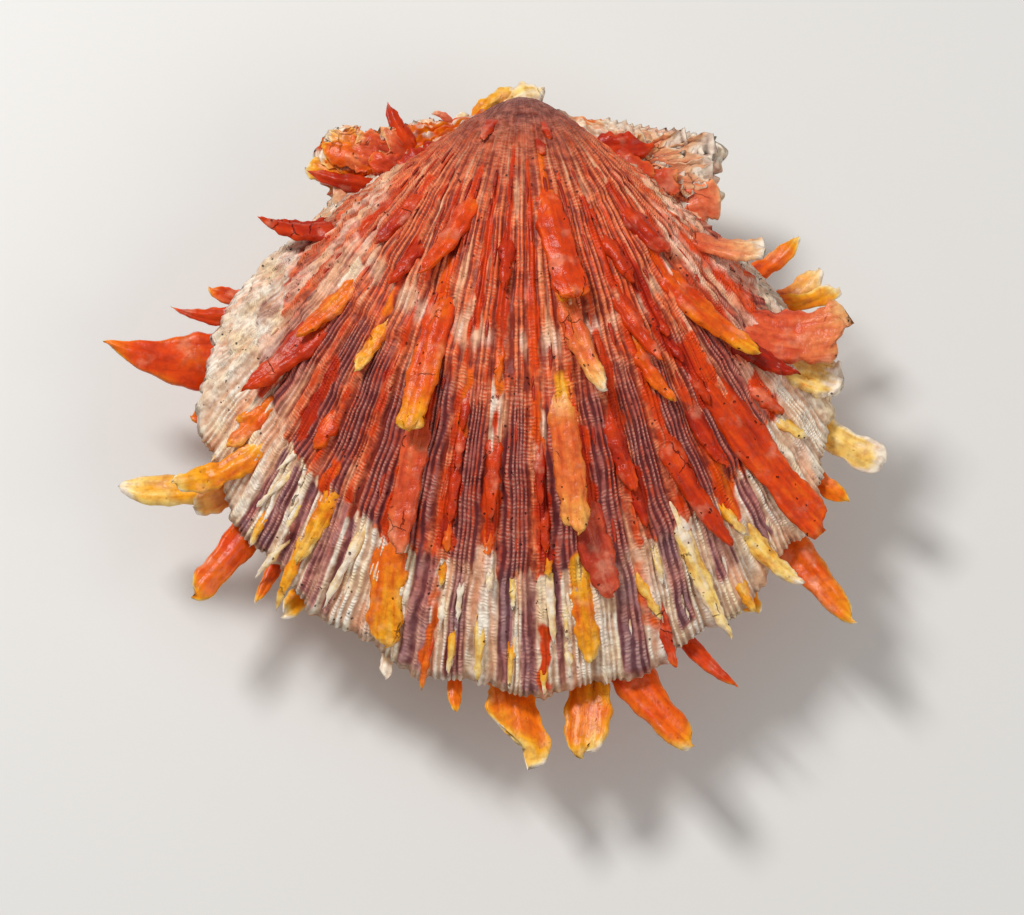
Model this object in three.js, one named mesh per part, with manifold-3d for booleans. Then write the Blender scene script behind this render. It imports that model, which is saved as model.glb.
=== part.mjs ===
// Spiny oyster shell, closed, both valves together, lying on the flat scar of its lower valve.
//
// +Z is up, -Y is the belly edge, where the shell opens, and +Y is the hinge. Lengths are millimetres and
// angles are degrees. Each valve is one thin dish that grew in a spiral from its beak, so it is drawn by
// that rule: the rim is scaled down towards the beak, and turned about the hinge as it shrinks. The
// valve's spines are grown in one piece with it. The origin is the centre of the attachment scar.

import Module from "manifold-3d";
import * as THREE from "three";
import { mergeVertices } from "three/addons/utils/BufferGeometryUtils.js";

const wasm = await Module();
wasm.setup();

const RIM_HEIGHT = 26.4; // the plane where the valves meet, above the scar
const SCAR_CENTRE = 36; // the scar's centre, in front of the hinge axis
const SCAR_REACH = 90; // side of the block that flattens the lower valve
const VALVE_GAP = 0.3; // between the two rims
const HINGE_Y = -5; // the straight hinge line, in front of the beaks
const HINGE_STEPS = 6;

const RIB_STEP = 6; // angle between ribs, seen from the beak
const RIB_OFFSET = 2; // the rib nearest to the middle
const RIB_HEIGHT = 0.5;
const RIB_REACH = 58; // ribs fade out towards the ears
const EAR_ANGLE = 79; // the first and last column of the rim, at the tips of the ears

const GROWTH_ROWS = 13;
const FIRST_ROW = 0.035; // size of the smallest ring at the beak, as a share of the rim

const SPINE_SIDES = 6;
const SPINE_STATIONS = 4;
const SPINE_ROOT = 1.4; // how deep a spine starts below the surface
const RADIANS = Math.PI / 180;

// The rim, from the left ear round the belly edge to the right ear, seen from above. The beak is at 0, 0.
const RIM_POINTS = [
  [-36, -5],
  [-37.5, -8],
  [-35.5, -12],
  [-34, -16.5],
  [-40, -23],
  [-51, -35],
  [-57, -51],
  [-55.5, -64],
  [-49, -78],
  [-36.5, -92],
  [-20, -102.5],
  [0, -107],
  [18, -104.5],
  [37, -93],
  [50, -77],
  [54.5, -60],
  [52, -46],
  [43, -32],
  [33, -22.5],
  [35.5, -17],
  [34.5, -12],
  [36.5, -8],
  [35, -5],
];

// The mouth of the hollow inside the valves.
const HOLLOW_POINTS = [
  [0, -15],
  [-15, -15.5],
  [-28, -19],
  [-37, -26],
  [-47, -37],
  [-53, -52],
  [-51.5, -64],
  [-45.5, -76],
  [-34, -88.5],
  [-18.5, -99],
  [0, -103.5],
  [17, -101],
  [34.5, -89.5],
  [46.5, -75],
  [50.5, -60],
  [48, -47.5],
  [40, -34.5],
  [28, -21],
  [15, -15.5],
];

// side is 1 for the upper valve and -1 for the lower one. The beak is the end of the spiral, and the
// coiling says how fast the valve turns about the hinge as it grows, which sets how deep it is. A spine
// sets off along the surface by the share spineRise, and level otherwise, which keeps the lower valve's
// spines below the rim.
const UPPER = {
  side: 1,
  beak: [0, 0, 1.5],
  coiling: 0.6,
  hollowBeak: [0, -8, -1.5],
  hollowCoiling: 0.58,
  spineRise: 1,
};
const LOWER = {
  side: -1,
  beak: [0, 3, -5],
  coiling: 0.7,
  hollowBeak: [0, -8, 1.5],
  hollowCoiling: 0.6,
  spineRise: 0,
};

// Spines: the rib they stand on, where the rim was when they grew as a share of the full size, their
// length and width, the way they point in plan, from straight ahead towards +X, and their slope. The tip
// is its share of the width.
const UPPER_SPINES = [
  { rib: -16.5, growth: 0.32, long: 16, wide: 4.6, heading: -36, slope: 12, tip: 0.5 },
  { rib: -17, growth: 0.48, long: 24, wide: 5.6, heading: -14, slope: 3, tip: 0.9 },
  { rib: -15.5, growth: 0.66, long: 23, wide: 5.4, heading: -11, slope: -10, tip: 0.8 },
  { rib: -15.5, growth: 0.85, long: 18, wide: 7, heading: -4, slope: -19, tip: 0.8 },
  { rib: 8, growth: 0.3, long: 20, wide: 5.5, heading: 15, slope: 15, tip: 1.1 },
  { rib: 9, growth: 0.46, long: 16, wide: 5, heading: 25, slope: 7, tip: 0.6 },
  { rib: 6.3, growth: 0.6, long: 22.5, wide: 5.5, heading: 7, slope: -6, tip: 0.95 },
  { rib: 8, growth: 0.76, long: 14, wide: 6.5, heading: 20, slope: -13, tip: 0.8 },
  { rib: 6.5, growth: 0.86, long: 13, wide: 5, heading: 9, slope: -20, tip: 0.7 },
  { rib: -36, growth: 0.37, long: 10, wide: 4, heading: -45, slope: 0, tip: 0.6 },
  { rib: -38, growth: 0.58, long: 12, wide: 5, heading: -50, slope: 0, tip: 0.4 },
  { rib: -39, growth: 0.68, long: 17, wide: 7.5, heading: -52, slope: -5, tip: 0.25 },
  { rib: -36, growth: 0.91, long: 15, wide: 4.6, heading: -70, slope: 4, tip: 0.95 },
  { rib: -38.5, growth: 0.85, long: 9, wide: 4, heading: -46, slope: -8, tip: 0.6 },
  { rib: -27, growth: 0.56, long: 10, wide: 3, heading: -33, slope: 6, tip: 0.8 },
  { rib: -24.5, growth: 0.84, long: 13, wide: 4.5, heading: -29, slope: -18, tip: 0.4 },
  { rib: -54.6, growth: 0.68, long: 13, wide: 7, heading: -100, slope: 18, tip: 0.2 },
  { rib: 43, growth: 0.76, long: 19, wide: 10.5, heading: 96, slope: 6, tip: 0.95 },
  { rib: 47.4, growth: 0.59, long: 12.9, wide: 4.8, heading: 83, slope: 12, tip: 1.5 },
  { rib: 44.8, growth: 0.91, long: 8.5, wide: 8, heading: 80, slope: 7, tip: 0.9 },
  { rib: 33, growth: 0.39, long: 9, wide: 4.7, heading: 50, slope: 2, tip: 0.6 },
  { rib: 33.5, growth: 0.52, long: 20, wide: 5.8, heading: 52, slope: -2, tip: 0.5 },
  { rib: 39, growth: 0.71, long: 13, wide: 5.5, heading: 63, slope: 2, tip: 0.25 },
  { rib: 20.5, growth: 0.47, long: 14, wide: 4, heading: 34, slope: 3, tip: 0.5 },
  { rib: 20.5, growth: 0.56, long: 12, wide: 3.6, heading: 38, slope: 2, tip: 0.5 },
  { rib: 20.5, growth: 0.7, long: 23, wide: 5, heading: 34, slope: -11, tip: 0.5 },
  { rib: 19, growth: 0.82, long: 24, wide: 4, heading: 26, slope: -14, tip: 0.5 },
  { rib: 26, growth: 0.69, long: 13, wide: 4, heading: 33, slope: -8, tip: 0.6 },
  { rib: 31, growth: 0.71, long: 30, wide: 7.5, heading: 40, slope: -13, tip: 0.9 },
  { rib: 26.5, growth: 0.93, long: 13, wide: 4.5, heading: 52, slope: -5, tip: 0.4 },
  { rib: 13.5, growth: 0.65, long: 12, wide: 4, heading: 20, slope: -6, tip: 0.6 },
  { rib: 14.5, growth: 0.93, long: 11, wide: 2.8, heading: 17, slope: -12, tip: 0.5 },
];
const LOWER_SPINES = [
  { rib: -47.9, growth: 0.87, long: 25, wide: 12.2, heading: -93, slope: 8, tip: 0.16 },
  { rib: -36.5, growth: 0.95, long: 22.5, wide: 8.2, heading: -85, slope: 2, tip: 0.6 },
  { rib: -36.5, growth: 0.96, long: 10, wide: 6, heading: -60, slope: 4, tip: 0.9 },
  { rib: -32.1, growth: 0.93, long: 22.5, wide: 7, heading: -38, slope: 6, tip: 0.7 },
  { rib: -27.8, growth: 0.95, long: 12, wide: 3.2, heading: -26, slope: 6, tip: 0.6 },
  { rib: -23.1, growth: 0.9, long: 16, wide: 4.6, heading: -34, slope: 16, tip: 0.8 },
  { rib: -13.8, growth: 0.95, long: 10, wide: 2.6, heading: -6, slope: 8, tip: 0.9 },
  { rib: -6.9, growth: 0.95, long: 11.5, wide: 3, heading: 1, slope: 8, tip: 0.8 },
  { rib: -1.8, growth: 0.92, long: 24, wide: 6.6, heading: 10, slope: 8, tip: 1.6 },
  { rib: 7.4, growth: 0.92, long: 22.5, wide: 6.6, heading: -5, slope: 8, tip: 1.35 },
  { rib: 9.3, growth: 0.94, long: 22.5, wide: 9, heading: 37, slope: 7, tip: 0.6 },
  { rib: 15.6, growth: 0.94, long: 18.2, wide: 4.7, heading: 44, slope: 6, tip: 0.3 },
  { rib: 23.7, growth: 0.94, long: 9.5, wide: 4.5, heading: 32, slope: 8, tip: 0.9 },
  { rib: 30.7, growth: 0.91, long: 25.6, wide: 7.5, heading: 37, slope: 7, tip: 0.6 },
  { rib: 37.5, growth: 0.94, long: 12, wide: 5, heading: 50, slope: 6, tip: 0.5 },
  { rib: 41.8, growth: 0.92, long: 18.3, wide: 5, heading: 59, slope: 6, tip: 1.25 },
  { rib: 51.4, growth: 0.94, long: 12.5, wide: 3.6, heading: 102, slope: 0, tip: 0.9 },
  { rib: 50.5, growth: 0.9, long: 11.5, wide: 4.6, heading: 126, slope: 5, tip: 1 },
  { rib: 52.5, growth: 0.88, long: 12.9, wide: 4, heading: 124, slope: 5, tip: 0.8 },
  { rib: -53, growth: 0.93, long: 14, wide: 5, heading: -97, slope: 3, tip: 0.15 },
  { rib: -53.6, growth: 0.88, long: 10.5, wide: 4, heading: -103, slope: 8, tip: 0.7 },
  { rib: -44.2, growth: 0.93, long: 7.5, wide: 5, heading: -75, slope: 4, tip: 0.7 },
];

// The lower valve's older spines, which ring its underside at an earlier size.
const OLD_SPINES = { first: -46, last: 50, step: 12, growth: 0.72, long: 10, wide: 4, slope: -8, tip: 0.4 };

/** A closed curve through the given points, in the plane of the rim. */
function planCurve(points, closed) {
  const places = points.map(([x, y]) => new THREE.Vector3(x, y, 0));
  return new THREE.CatmullRomCurve3(places, closed, "catmullrom", 0.5);
}

const rimCurve = planCurve(RIM_POINTS, false);
const hollowCurve = planCurve(HOLLOW_POINTS, true);

/** The rim at one angle from straight ahead, found by halving along the curve. */
function rimAt(angle) {
  let low = 0;
  let high = 1;
  for (let step = 0; step < 40; step += 1) {
    const middle = (low + high) / 2;
    const point = rimCurve.getPoint(middle);
    if (Math.atan2(point.x, -point.y) < angle * RADIANS) {
      low = middle;
    } else {
      high = middle;
    }
  }
  return rimCurve.getPoint(low);
}

/** Every column of the rim: each rib and each groove, and then the straight hinge line. */
function rimColumns() {
  const columns = [];
  const columnStep = RIB_STEP / 2;
  const first = RIB_OFFSET - columnStep * Math.round((EAR_ANGLE + RIB_OFFSET) / columnStep);
  for (let angle = first; angle <= EAR_ANGLE + columnStep; angle += columnStep) {
    columns.push({ angle, place: rimAt(angle) });
  }
  const right = columns[columns.length - 1].place;
  const left = columns[0].place;
  for (let step = 1; step < HINGE_STEPS; step += 1) {
    const place = right.clone().lerp(left, step / HINGE_STEPS);
    place.y = HINGE_Y;
    columns.push({ angle: 0, place, hinge: true });
  }
  return columns;
}

/** The spiral: a point of the full rim, carried back to where it was at a smaller size. */
function grown(rim, beak, coiling, side, growth) {
  const turn = -coiling * Math.log(growth);
  const y = rim.y - beak[1];
  const z = rim.z - beak[2];
  return new THREE.Vector3(
    beak[0] + growth * (rim.x - beak[0]),
    beak[1] + growth * (y * Math.cos(turn) + side * z * Math.sin(turn)),
    beak[2] + growth * (z * Math.cos(turn) - side * y * Math.sin(turn)),
  );
}

/** A point of a valve's outside, before its ribs. */
function outside(valve, place, growth) {
  const rim = new THREE.Vector3(place.x, place.y, (valve.side * VALVE_GAP) / 2);
  return grown(rim, valve.beak, valve.coiling, valve.side, growth);
}

/** The way the outside faces at one rib angle, and the way it grows there. */
function outsideFrame(valve, angle, growth) {
  const reach = 0.5;
  const shrink = 0.01;
  const left = outside(valve, rimAt(angle - reach), growth);
  const right = outside(valve, rimAt(angle + reach), growth);
  const here = outside(valve, rimAt(angle), growth);
  const earlier = outside(valve, rimAt(angle), growth - shrink);
  const forward = here.clone().sub(earlier).normalize();
  const across = right.sub(left).normalize();
  const normal = across.cross(forward).multiplyScalar(-valve.side).normalize();
  return { here, forward, normal };
}

/** Growth at each row, closer together near the beak, where the spiral is tight. */
function rowGrowth(row, rows) {
  return FIRST_ROW ** (1 - (row - 1) / (rows - 2)) ** 1.25;
}

/** Moves the points of a unit sphere by column and row, and welds its seam, which keeps it closed. */
function shapedSphere(columns, rows, place) {
  const geometry = new THREE.SphereGeometry(1, columns, rows);
  const { position, uv } = geometry.attributes;
  for (let index = 0; index < position.count; index += 1) {
    const row = Math.round((1 - uv.getY(index)) * rows);
    const column = Math.round(uv.getX(index) * columns) % columns;
    position.setXYZ(index, ...place(column, row).toArray());
  }
  return welded(geometry);
}

function welded(geometry) {
  geometry.deleteAttribute("normal");
  geometry.deleteAttribute("uv");
  return mergeVertices(geometry, 1e-3);
}

/** A closed geometry as a solid, turned outside out if it was drawn the other way round. */
function asSolid(geometry) {
  const { position } = geometry.attributes;
  const corners = Array.from(geometry.index.array);
  const [a, b, c] = [new THREE.Vector3(), new THREE.Vector3(), new THREE.Vector3()];
  let volume = 0;
  for (let index = 0; index < corners.length; index += 3) {
    a.fromBufferAttribute(position, corners[index]);
    b.fromBufferAttribute(position, corners[index + 1]);
    c.fromBufferAttribute(position, corners[index + 2]);
    volume += a.dot(b.cross(c));
  }
  if (volume < 0) {
    corners.reverse();
  }
  const mesh = new wasm.Mesh({
    numProp: 3,
    vertProperties: new Float32Array(position.array),
    triVerts: new Uint32Array(corners),
  });
  return new wasm.Manifold(mesh);
}

/** The outside of a valve, ribbed, closed by a flat face across its rim. */
function valveBody(valve) {
  const columns = rimColumns();
  const middle = new THREE.Vector3(0, -50, (valve.side * VALVE_GAP) / 2);
  const place = (column, row) => {
    if (row === 0) {
      return new THREE.Vector3(...valve.beak);
    }
    if (row === GROWTH_ROWS) {
      return middle.clone();
    }
    const { angle, place: rim, hinge } = columns[column];
    const growth = rowGrowth(row, GROWTH_ROWS);
    const point = outside(valve, rim, growth);
    if (hinge || Math.abs(angle) > RIB_REACH || row === GROWTH_ROWS - 1) {
      return point;
    }
    const crest = Math.cos((2 * Math.PI * (angle - RIB_OFFSET)) / RIB_STEP);
    return point.addScaledVector(outsideFrame(valve, angle, growth).normal, RIB_HEIGHT * crest * growth);
  };
  return asSolid(shapedSphere(columns.length, GROWTH_ROWS, place));
}

/** The hollow that the animal filled, as the solid that is cut out of a valve. */
function hollow(valve) {
  const columns = 36;
  const rows = 9;
  const below = -valve.side;
  const place = (column, row) => {
    if (row === 0) {
      return new THREE.Vector3(...valve.hollowBeak);
    }
    const rim = hollowCurve.getPoint(column / columns).setZ(below);
    if (row === rows) {
      return new THREE.Vector3(0, -55, below);
    }
    const growth = 0.16 ** (1 - (row - 1) / (rows - 2));
    return grown(rim, valve.hollowBeak, valve.hollowCoiling, valve.side, growth);
  };
  return asSolid(shapedSphere(columns, rows, place));
}

/** One spine: a flattened tongue that leaves its rib along the surface, and turns to its own heading. */
function spine(valve, { rib, growth, long, wide, heading, slope, tip }) {
  const { here, forward, normal } = outsideFrame(valve, rib, growth);
  const level = Math.cos(slope * RADIANS);
  const aim = new THREE.Vector3(
    level * Math.sin(heading * RADIANS),
    -level * Math.cos(heading * RADIANS),
    Math.sin(slope * RADIANS),
  );
  forward.z *= valve.spineRise;
  const start = here.clone().addScaledVector(normal, -SPINE_ROOT);
  const end = here.clone().addScaledVector(aim, long);
  const knee = here.clone().addScaledVector(forward, long * 0.25).addScaledVector(aim, long * 0.15);
  const path = new THREE.QuadraticBezierCurve3(start, knee, end);
  const geometry = new THREE.CylinderGeometry(1, 1, 1, SPINE_SIDES, SPINE_STATIONS);
  const { position } = geometry.attributes;
  for (let index = 0; index < position.count; index += 1) {
    const along = position.getY(index) + 0.5;
    const tangent = path.getTangent(along);
    const across = tangent.clone().cross(normal).normalize();
    const up = across.clone().cross(tangent);
    const width = (wide / 2) * (1 + (tip - 1) * along ** 1.5);
    const thick = Math.min(wide * 0.22, 1.3) * (1 - 0.45 * along);
    const point = path.getPoint(along);
    point.addScaledVector(across, position.getX(index) * width);
    point.addScaledVector(up, position.getZ(index) * thick);
    position.setXYZ(index, ...point.toArray());
  }
  return asSolid(welded(geometry));
}

/** The lower valve's spines: those at its rim, and the worn ones of an earlier size on every second rib. */
function lowerSpines() {
  const { first, last, step, ...shape } = OLD_SPINES;
  const spines = [...LOWER_SPINES];
  for (let rib = first; rib <= last; rib += step) {
    spines.push({ ...shape, rib, heading: rib * 1.3 });
  }
  return spines;
}

/** The block that takes off the bottom of the lower valve, where it was cemented to the rock. */
function scarBlock() {
  const block = new THREE.BoxGeometry(SCAR_REACH, SCAR_REACH, SCAR_REACH);
  block.translate(0, -SCAR_CENTRE, -RIM_HEIGHT - SCAR_REACH / 2);
  return asSolid(welded(block));
}

/** A whole valve with its hollow and spines. */
function valveSolid(valve, spines) {
  let solid = valveBody(valve).subtract(hollow(valve));
  for (const shape of spines) {
    solid = solid.add(spine(valve, shape));
  }
  return solid;
}

/** A named mesh from a solid. */
function meshOf(name, solid, material) {
  const { vertProperties, triVerts } = solid.getMesh();
  const geometry = new THREE.BufferGeometry();
  geometry.setAttribute("position", new THREE.BufferAttribute(new Float32Array(vertProperties), 3));
  geometry.setIndex(new THREE.BufferAttribute(new Uint32Array(triVerts), 1));
  geometry.computeVertexNormals();
  const mesh = new THREE.Mesh(geometry, material);
  mesh.name = name;
  return mesh;
}

const upperShell = new THREE.MeshStandardMaterial({ color: 0xa84a32, roughness: 0.6, metalness: 0 });
const lowerShell = new THREE.MeshStandardMaterial({ color: 0xe08a3c, roughness: 0.6, metalness: 0 });

const shell = new THREE.Group();
shell.add(meshOf("upper_valve", valveSolid(UPPER, UPPER_SPINES), upperShell));
shell.add(meshOf("lower_valve", valveSolid(LOWER, lowerSpines()).subtract(scarBlock()), lowerShell));
shell.position.set(0, SCAR_CENTRE, RIM_HEIGHT);

export default shell;
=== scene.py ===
import math

import bpy
import numpy as np
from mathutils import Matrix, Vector


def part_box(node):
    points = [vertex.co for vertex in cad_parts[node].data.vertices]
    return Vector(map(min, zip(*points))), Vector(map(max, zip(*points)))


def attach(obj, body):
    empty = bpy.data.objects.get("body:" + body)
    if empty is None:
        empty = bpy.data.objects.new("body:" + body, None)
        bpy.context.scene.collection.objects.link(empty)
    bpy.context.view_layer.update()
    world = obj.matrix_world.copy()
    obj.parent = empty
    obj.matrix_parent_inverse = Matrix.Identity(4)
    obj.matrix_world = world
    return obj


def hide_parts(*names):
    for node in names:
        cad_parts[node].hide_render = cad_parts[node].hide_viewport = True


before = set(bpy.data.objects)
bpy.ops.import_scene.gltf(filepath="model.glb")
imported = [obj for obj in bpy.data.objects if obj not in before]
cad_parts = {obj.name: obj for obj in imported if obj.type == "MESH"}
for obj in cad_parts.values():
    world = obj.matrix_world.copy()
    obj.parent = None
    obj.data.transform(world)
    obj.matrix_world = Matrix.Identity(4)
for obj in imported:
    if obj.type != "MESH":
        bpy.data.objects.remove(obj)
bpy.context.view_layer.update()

# ---------------------------------------------------------------------------------------------
# The valves: both are one grown dish of calcite, laid down at the rim by the animal's mantle, so each older
# rim is a smaller copy of the last one, turned about the hinge. The right valve is the lower one. It grew
# cemented to rock, and carries the flat scar that the shell rests on.
# ---------------------------------------------------------------------------------------------
MM = 0.001
# In millimetres. The hinge axis lies behind the middle of the scar, and both at x = 0.
SCAR_CENTRE = 36.0
VALVE_GAP = 0.3
RIM_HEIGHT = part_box("upper_valve")[0].z / MM - VALVE_GAP / 2
HINGE_Y = -5.0
RIBLET_PITCH = 1.35
# In degrees, as seen from the beak: a rib with spines every six.
RIB_STEP = 6.0
RIB_OFFSET = 2.0

# The rim from above, from the left end of the hinge round the belly edge to the right end, as x and y from
# the beak. The dents beside the hinge set off the ears.
RIM_POINTS = [
    (-36, -5), (-37.5, -8), (-35.5, -12), (-34, -16.5), (-40, -23), (-51, -35), (-57, -51), (-55.5, -64),
    (-49, -78), (-36.5, -92), (-20, -102.5), (0, -107), (18, -104.5), (37, -93), (50, -77), (54.5, -60),
    (52, -46), (43, -32), (33, -22.5), (35.5, -17), (34.5, -12), (36.5, -8), (35, -5),
]
# The mouth of the hollow inside, round from the hinge.
HOLLOW_POINTS = [
    (0, -15), (-15, -15.5), (-28, -19), (-37, -26), (-47, -37), (-53, -52), (-51.5, -64), (-45.5, -76),
    (-34, -88.5), (-18.5, -99), (0, -103.5), (17, -101), (34.5, -89.5), (46.5, -75), (50.5, -60),
    (48, -47.5), (40, -34.5), (28, -21), (15, -15.5),
]
# Each valve's outside and hollow shrink towards their own beak. Coiling is how far they turn as they shrink,
# in radians for each time the size falls by a factor of e.
UPPER = {
    "side": 1, "beak": (0, 0, 1.5), "coiling": 0.6, "hollow_beak": (0, -8, -1.5), "hollow_coiling": 0.58,
}
LOWER = {"side": -1, "beak": (0, 3, -5), "coiling": 0.7, "hollow_beak": (0, -8, 1.5), "hollow_coiling": 0.6}


def smooth_curve(points, closed, steps=40):
    """A Catmull-Rom curve through the points, as a close row of places."""
    given = np.array(points, float)
    if closed:
        ring = np.vstack([given[-1:], given, given[:2]])
    else:
        ring = np.vstack([2 * given[0] - given[1], given, 2 * given[-1] - given[-2]])
    t = np.linspace(0, 1, steps, endpoint=False)[:, None]
    parts = []
    for before, start, end, after in zip(ring, ring[1:], ring[2:], ring[3:]):
        curve = 2 * start + (end - before) * t
        curve = curve + (2 * before - 5 * start + 4 * end - after) * t**2
        parts.append(0.5 * (curve + (3 * start - before - 3 * end + after) * t**3))
    if not closed:
        parts.append(given[-1:])
    return np.vstack(parts)


rim_curve = smooth_curve(RIM_POINTS, closed=False)
rim_angles = np.degrees(np.arctan2(rim_curve[:, 0], -rim_curve[:, 1]))
rim_angles = np.maximum.accumulate(rim_angles)
rim_reach = np.concatenate([[0], np.cumsum(np.hypot(*np.diff(rim_curve, axis=0).T))])
hollow_curve = smooth_curve(HOLLOW_POINTS, closed=True)


def rim_at(angle):
    """The rim at an angle from straight ahead, as x and y."""
    return np.stack([np.interp(angle, rim_angles, rim_curve[:, axis]) for axis in (0, 1)], -1)


def grown(rim, beak, coiling, side, growth):
    """The growth spiral: a point of the full rim, carried back to where it was at a smaller size."""
    offset = np.asarray(rim, float) - np.asarray(beak, float)
    turn = -np.asarray(coiling) * np.log(growth)
    y = offset[..., 1] * np.cos(turn) + side * offset[..., 2] * np.sin(turn)
    z = offset[..., 2] * np.cos(turn) - side * offset[..., 1] * np.sin(turn)
    turned = np.stack([offset[..., 0] + 0 * y, y, z], -1)
    return np.asarray(beak, float) + np.asarray(growth)[..., None] * turned


def outside(valve, angle, growth):
    """A point of a valve's outside at a rib angle, before its ribs."""
    rim = np.append(rim_at(angle), valve["side"] * VALVE_GAP / 2)
    return grown(rim, valve["beak"], valve["coiling"], valve["side"], np.float64(growth))


def outside_frame(valve, angle, growth):
    """Where a rib is at one size, the way it grows there and the way the shell faces."""
    here = outside(valve, angle, growth)
    forward = here - outside(valve, angle, growth - 0.01)
    across = outside(valve, angle + 0.5, growth) - outside(valve, angle - 0.5, growth)
    forward /= np.linalg.norm(forward)
    facing = np.cross(across, forward) * -valve["side"]
    return here, forward, facing / np.linalg.norm(facing)


def ease(value, low, high):
    """0 below low, 1 above high, and a smooth step between."""
    t = np.clip((value - low) / (high - low), 0, 1)
    return t * t * (3 - 2 * t)


def bump_at(value, centre, width):
    """1 at the centre, falling to 0 on both sides."""
    return np.exp(-(((value - centre) / width) ** 2))


def in_row_frame(places):
    """Millimetres from the hinge axis to metres in the row's frame."""
    return (np.asarray(places) + (0, SCAR_CENTRE, RIM_HEIGHT)) * MM


def joined_faces(counts):
    """Faces between closed rows of points. A row may be one point, or have half its neighbour's points."""
    faces = []
    start = 0
    for count, after in zip(counts, counts[1:]):
        a, b = start, start + count
        many, few = (a, b) if count >= after else (b, a)
        most, least = max(count, after), min(count, after)
        j = np.arange(most)
        turn = (lambda f: f[:, ::-1]) if count < after else (lambda f: f)
        if least == 1:
            fan = np.stack([many + j, many + (j + 1) % most, few + 0 * j], -1)
            faces += turn(fan).tolist()
        elif most == least:
            faces += np.stack([a + j, a + (j + 1) % most, b + (j + 1) % most, b + j], -1).tolist()
        else:
            k = np.arange(least)
            left, middle, right = many + 2 * k, many + 2 * k + 1, many + (2 * k + 2) % most
            near, far = few + k, few + (k + 1) % least
            faces += turn(np.stack([left, middle, near], -1)).tolist()
            faces += turn(np.stack([middle, right, far], -1)).tolist()
            faces += turn(np.stack([middle, far, near], -1)).tolist()
        start += count
    return faces


def make_piece(name, places, faces, values):
    """A mesh object in the row's frame, facing outwards, with a named value at each of its points."""
    mesh = bpy.data.meshes.new(name)
    mesh.from_pydata(np.asarray(places).tolist(), [], faces)
    for key, numbers in values.items():
        kind = "FLOAT_VECTOR" if np.ndim(numbers) == 2 else "FLOAT"
        layer = mesh.attributes.new(key, kind, "POINT")
        field = "vector" if kind == "FLOAT_VECTOR" else "value"
        layer.data.foreach_set(field, np.ravel(numbers).astype(np.float32))
    piece = bpy.data.objects.new(name, mesh)
    bpy.context.scene.collection.objects.link(piece)
    return piece


MATHS, VECTORS = "ShaderNodeMath", "ShaderNodeVectorMath"
BLEND, RANGE, NOISE = "ShaderNodeMix", "ShaderNodeMapRange", "ShaderNodeTexNoise"
STORED, MOVE = "GeometryNodeInputNamedAttribute", "GeometryNodeSetPosition"
COLOURS = {"data_type": "RGBA"}
SMOOTH = {"interpolation_type": "SMOOTHSTEP"}


def add(tree, kind, *values, out=0, **settings):
    """Adds one node with its settings. Its open inputs take the values in turn, or links from other nodes."""
    node = tree.nodes.new(kind)
    for key, value in settings.items():
        if key == "stops":
            ramp = node.color_ramp.elements
            while len(ramp) < len(value):
                ramp.new(1.0)
            for stop, (place, shade) in zip(ramp, value):
                stop.position = place
                stop.color = shade
        else:
            setattr(node, key, value)
    for socket, value in zip([s for s in node.inputs if s.enabled], values):
        if isinstance(value, bpy.types.NodeSocket):
            tree.links.new(value, socket)
        elif value is not None:
            socket.default_value = value
    if isinstance(out, str):
        return node.outputs[out]
    shown = [s for s in node.outputs if s.enabled]
    return shown[out] if shown else node


def colour(code):
    """An sRGB hex value as a linear colour."""
    parts = [int(code[i : i + 2], 16) / 255 for i in (1, 3, 5)]
    linear = [p / 12.92 if p <= 0.04045 else ((p + 0.055) / 1.055) ** 2.4 for p in parts]
    return (*linear, 1.0)


def new_tree(name, sockets):
    """A Geometry Nodes tree that takes a geometry and the given named inputs, and gives a geometry."""
    tree = bpy.data.node_groups.new(name, "GeometryNodeTree")
    tree.interface.new_socket("Geometry", in_out="INPUT", socket_type="NodeSocketGeometry")
    for key, kind in sockets.items():
        tree.interface.new_socket(key, in_out="INPUT", socket_type="NodeSocket" + kind)
    tree.interface.new_socket("Geometry", in_out="OUTPUT", socket_type="NodeSocketGeometry")
    return tree


def apply_tree(piece, tree, values):
    """Runs a tree on a piece and keeps the result as its plain mesh."""
    modifier = piece.modifiers.new(tree.name, "NODES")
    modifier.node_group = tree
    for item in tree.interface.items_tree:
        if item.in_out == "INPUT" and item.name in values:
            modifier[item.identifier] = values[item.name]
    depsgraph = bpy.context.evaluated_depsgraph_get()
    mesh = bpy.data.meshes.new_from_object(piece.evaluated_get(depsgraph), depsgraph=depsgraph)
    piece.modifiers.clear()
    piece.data = mesh
    mesh.name = piece.name
    return piece


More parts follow.
